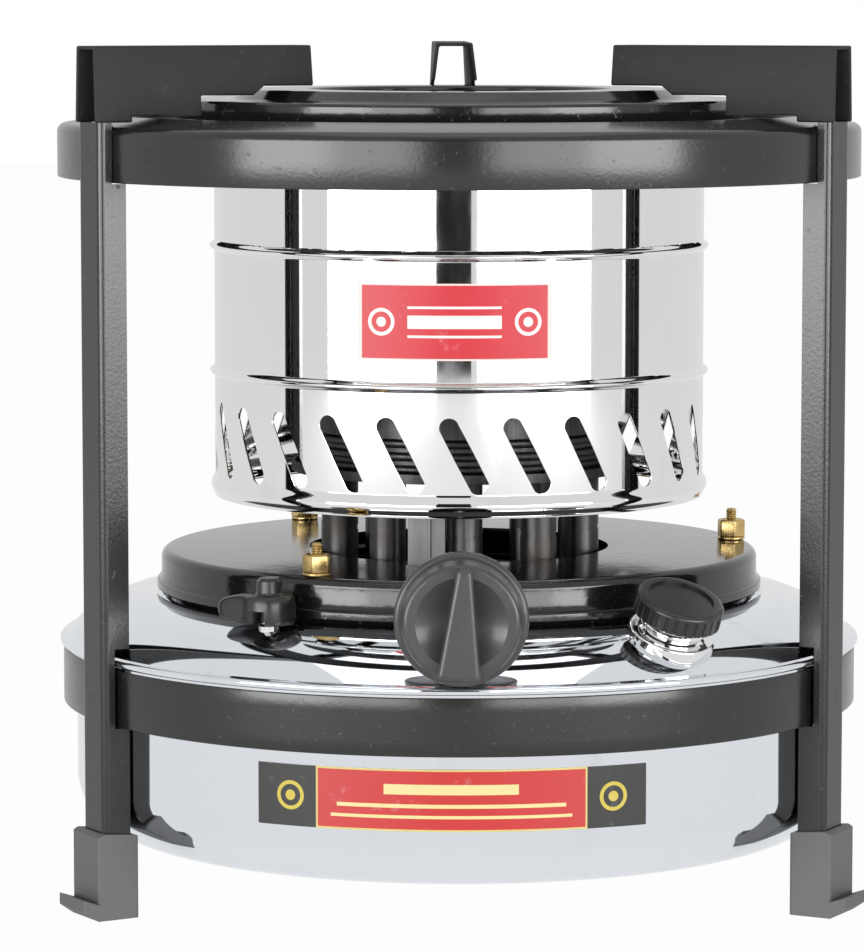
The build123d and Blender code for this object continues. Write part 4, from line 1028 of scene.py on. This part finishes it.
def fillerNeck():
    # flange, three turns of thread and the rolled mouth, drawn upright and then leant on the dome
    look = fillerTurning
    bore, root, height, ease = look["bore"], look["root"], look["height"], look["footEase"]
    flangeBend, mouth, top = look["flangeBend"], look["mouthBend"], look["flangeTop"]
    profile = [(bore, look["foot"]), (look["flange"] - ease, look["foot"])]
    profile.append((look["flange"], look["foot"] + ease))
    profile += arcPoints((look["flange"] - flangeBend, top - flangeBend), flangeBend, 0, 90, 5)
    profile += [(root + 2 * look["flank"], top), (root, top + ease)]
    level = top + look["threadStart"]
    while level < height - look["pitch"] * 0.9:
        for share, far in ((0, root), (0.25, root + look["flank"]), (0.42, look["radius"]),
                           (0.58, look["radius"]), (0.75, root + look["flank"]), (1, root)):
            profile.append((far, level + look["pitch"] * share))
        level += look["pitch"]
    profile.append((root, height - mouth))
    profile += arcPoints((root - mouth, height - mouth), mouth, 0, 90, 4)[1:]
    profile += [(bore + look["mouthEase"], height), (bore, height - look["mouthEase"]), (bore, look["foot"])]
    neck = spunSheet("fillerNeck", profile, 0.0, look["sides"], look["inside"])
    crest, arc = domeSheet["crestRadius"], domeSheet["arc"]
    level = domeSheet["crest"] - arc + math.sqrt(arc ** 2 - (look["reach"] - crest) ** 2)
    only(neck)
    neck.matrix_world = (mathutils.Matrix.Rotation(math.radians(look["azimuth"]), 4, "Z")
                         @ mathutils.Matrix.Translation((look["reach"], 0, level))
                         @ mathutils.Matrix.Rotation(math.radians(look["tilt"]), 4, "Y"))
    settled()
    finished(neck, "neckChrome", "root", ["filler_neck"])


# studio
studio = {
    "floorSize": 14.0, "floorTone": grey(240), "floorGlow": 0.97,
    "roomLight": 0.34, "mirrorShare": 0.70,  # of white, how pale the room shows in metal
    "boxes": {  # softboxes: azimuth from the front, reach, width, height, middle's height, power
        "frontLeft": (-36.5, 1.87, 1.80, 0.52, 0.26, 14.0),
        "frontRight": (35.0, 1.87, 1.90, 0.52, 0.26, 14.7),
        "edgeLeft": (-48.0, 1.80, 0.85, 0.50, 0.25, 4.0),
        "edgeRight": (48.0, 1.80, 0.85, 0.50, 0.25, 4.0),
    },
    "glossShare": 0.65,
    "topLamp": {"up": 1.8, "size": 1.4, "power": 4.5, "back": -0.2, "aim": 0.14},
    "flag": {"reach": 2.2, "left": -0.42, "right": 0.20, "height": 1.6},
}
cameraPlace = {"x": -0.009, "y": -1.500, "z": 0.2911, "pitch": 5.93, "lens": 170.5}


def lightPaths(finish):
    # 1 where the camera sees the background, also through glass or in a mirror
    rays = [finish.node("ShaderNodeLightPath", {}, {}, ray)
            for ray in ("Is Camera Ray", "Is Glossy Ray", "Is Transmission Ray")]
    return rays[0].most(rays[1] * studio["mirrorShare"]).most(rays[2])


def paleFloor():
    clearSelection()
    bpy.ops.mesh.primitive_plane_add(size=studio["floorSize"], location=(0, 0, 0))
    floor = bpy.context.object
    floor.name = "studioFloor"
    finish = Finish("paleFloor")
    diffuse = finish.node("ShaderNodeBsdfDiffuse", {}, {"Color": studio["floorTone"]})
    glow = finish.node("ShaderNodeEmission", {}, {"Color": grey(255), "Strength": 1.0})
    seen = lightPaths(finish)
    both = finish.node("ShaderNodeMixShader", {}, {0: seen * studio["floorGlow"], 1: diffuse, 2: glow})
    finish.node("ShaderNodeOutputMaterial", {}, {"Surface": both})
    floor.data.materials.append(finish.material)


class WorldFinish(Finish):
    def __init__(self):
        world = bpy.data.worlds.new("studioRoom")
        bpy.context.scene.world = world
        world.use_nodes = True
        self.tree = world.node_tree
        self.tree.nodes.clear()


def room():
    finish = WorldFinish()
    seen = lightPaths(finish)
    strength = studio["roomLight"] + seen * (1.0 - studio["roomLight"])
    light = finish.node("ShaderNodeBackground", {}, {"Color": grey(255), "Strength": strength})
    finish.node("ShaderNodeOutputWorld", {}, {"Surface": light})


def softLamp(name, place, aim, width, height, power):
    clearSelection()
    bpy.ops.object.light_add(type="AREA", location=place)
    lamp = bpy.context.object
    lamp.name = name
    lamp.data.shape = "RECTANGLE"
    lamp.data.size = width
    lamp.data.size_y = height
    lamp.data.energy = power
    toward = [a - p for a, p in zip(aim, place)]
    flat = math.hypot(toward[0], toward[1])
    spin = math.atan2(toward[1], toward[0]) - math.pi / 2
    lamp.rotation_euler = (math.atan2(flat, -toward[2]), 0.0, spin)


def lamps():
    for name, (azimuth, reach, width, height, level, power) in studio["boxes"].items():
        turn = math.radians(azimuth)
        place = (reach * math.sin(turn), -reach * math.cos(turn), level)
        softLamp(name, place, (0.0, 0.0, level), width, height, power)
        # more of the same box for gloss alone: dark paint shows it, and pale print keeps its colour
        softLamp(name + "Gloss", place, (0.0, 0.0, level), width, height, power * studio["glossShare"])
        bpy.context.object.visible_diffuse = False
    top = studio["topLamp"]
    place, aim = (0.0, top["back"], top["up"]), (0.0, 0.0, top["aim"])
    softLamp("top", place, aim, top["size"], top["size"], top["power"])


def blackFlag():
    # a dark board behind the camera: the dark stripe in the middle of the drum
    look = studio["flag"]
    clearSelection()
    bpy.ops.mesh.primitive_plane_add(size=1.0, location=(0, 0, 0))
    board = bpy.context.object
    board.name = "blackFlag"
    board.scale = (look["right"] - look["left"], look["height"], 1.0)
    board.rotation_euler = (math.pi / 2, 0, 0)
    board.location = ((look["left"] + look["right"]) / 2, -look["reach"], look["height"] / 2)
    bpy.ops.object.transform_apply(location=True, rotation=True, scale=True)
    finish = Finish("blackCloth")
    board.data.materials.append(finish.surface({"Base Color": grey(20), "Roughness": 1.0}))
    board.visible_camera = False
    board.visible_shadow = False
    board.visible_diffuse = False


def camera():
    look = cameraPlace
    clearSelection()
    bpy.ops.object.camera_add(location=(look["x"], look["y"], look["z"]),
                              rotation=(math.radians(90.0 - look["pitch"]), 0.0, 0.0))
    eye = bpy.context.object
    eye.name = "photoCamera"
    eye.data.lens = look["lens"]
    eye.data.sensor_width = 36.0
    bpy.context.scene.camera = eye


tankDome()
tankPan()
lowerRing()
topRing()
burnerPlate()
trayCover()
drumWall()
potSupports()
trayStuds()
cottonWicks()
clampLever()
clampPost()
fillerNeck()
print("pieces modelled")

paleFloor()
room()
lamps()
blackFlag()
camera()
bpy.context.scene.view_settings.view_transform = "Standard"
print("studio ready")

clearSelection()
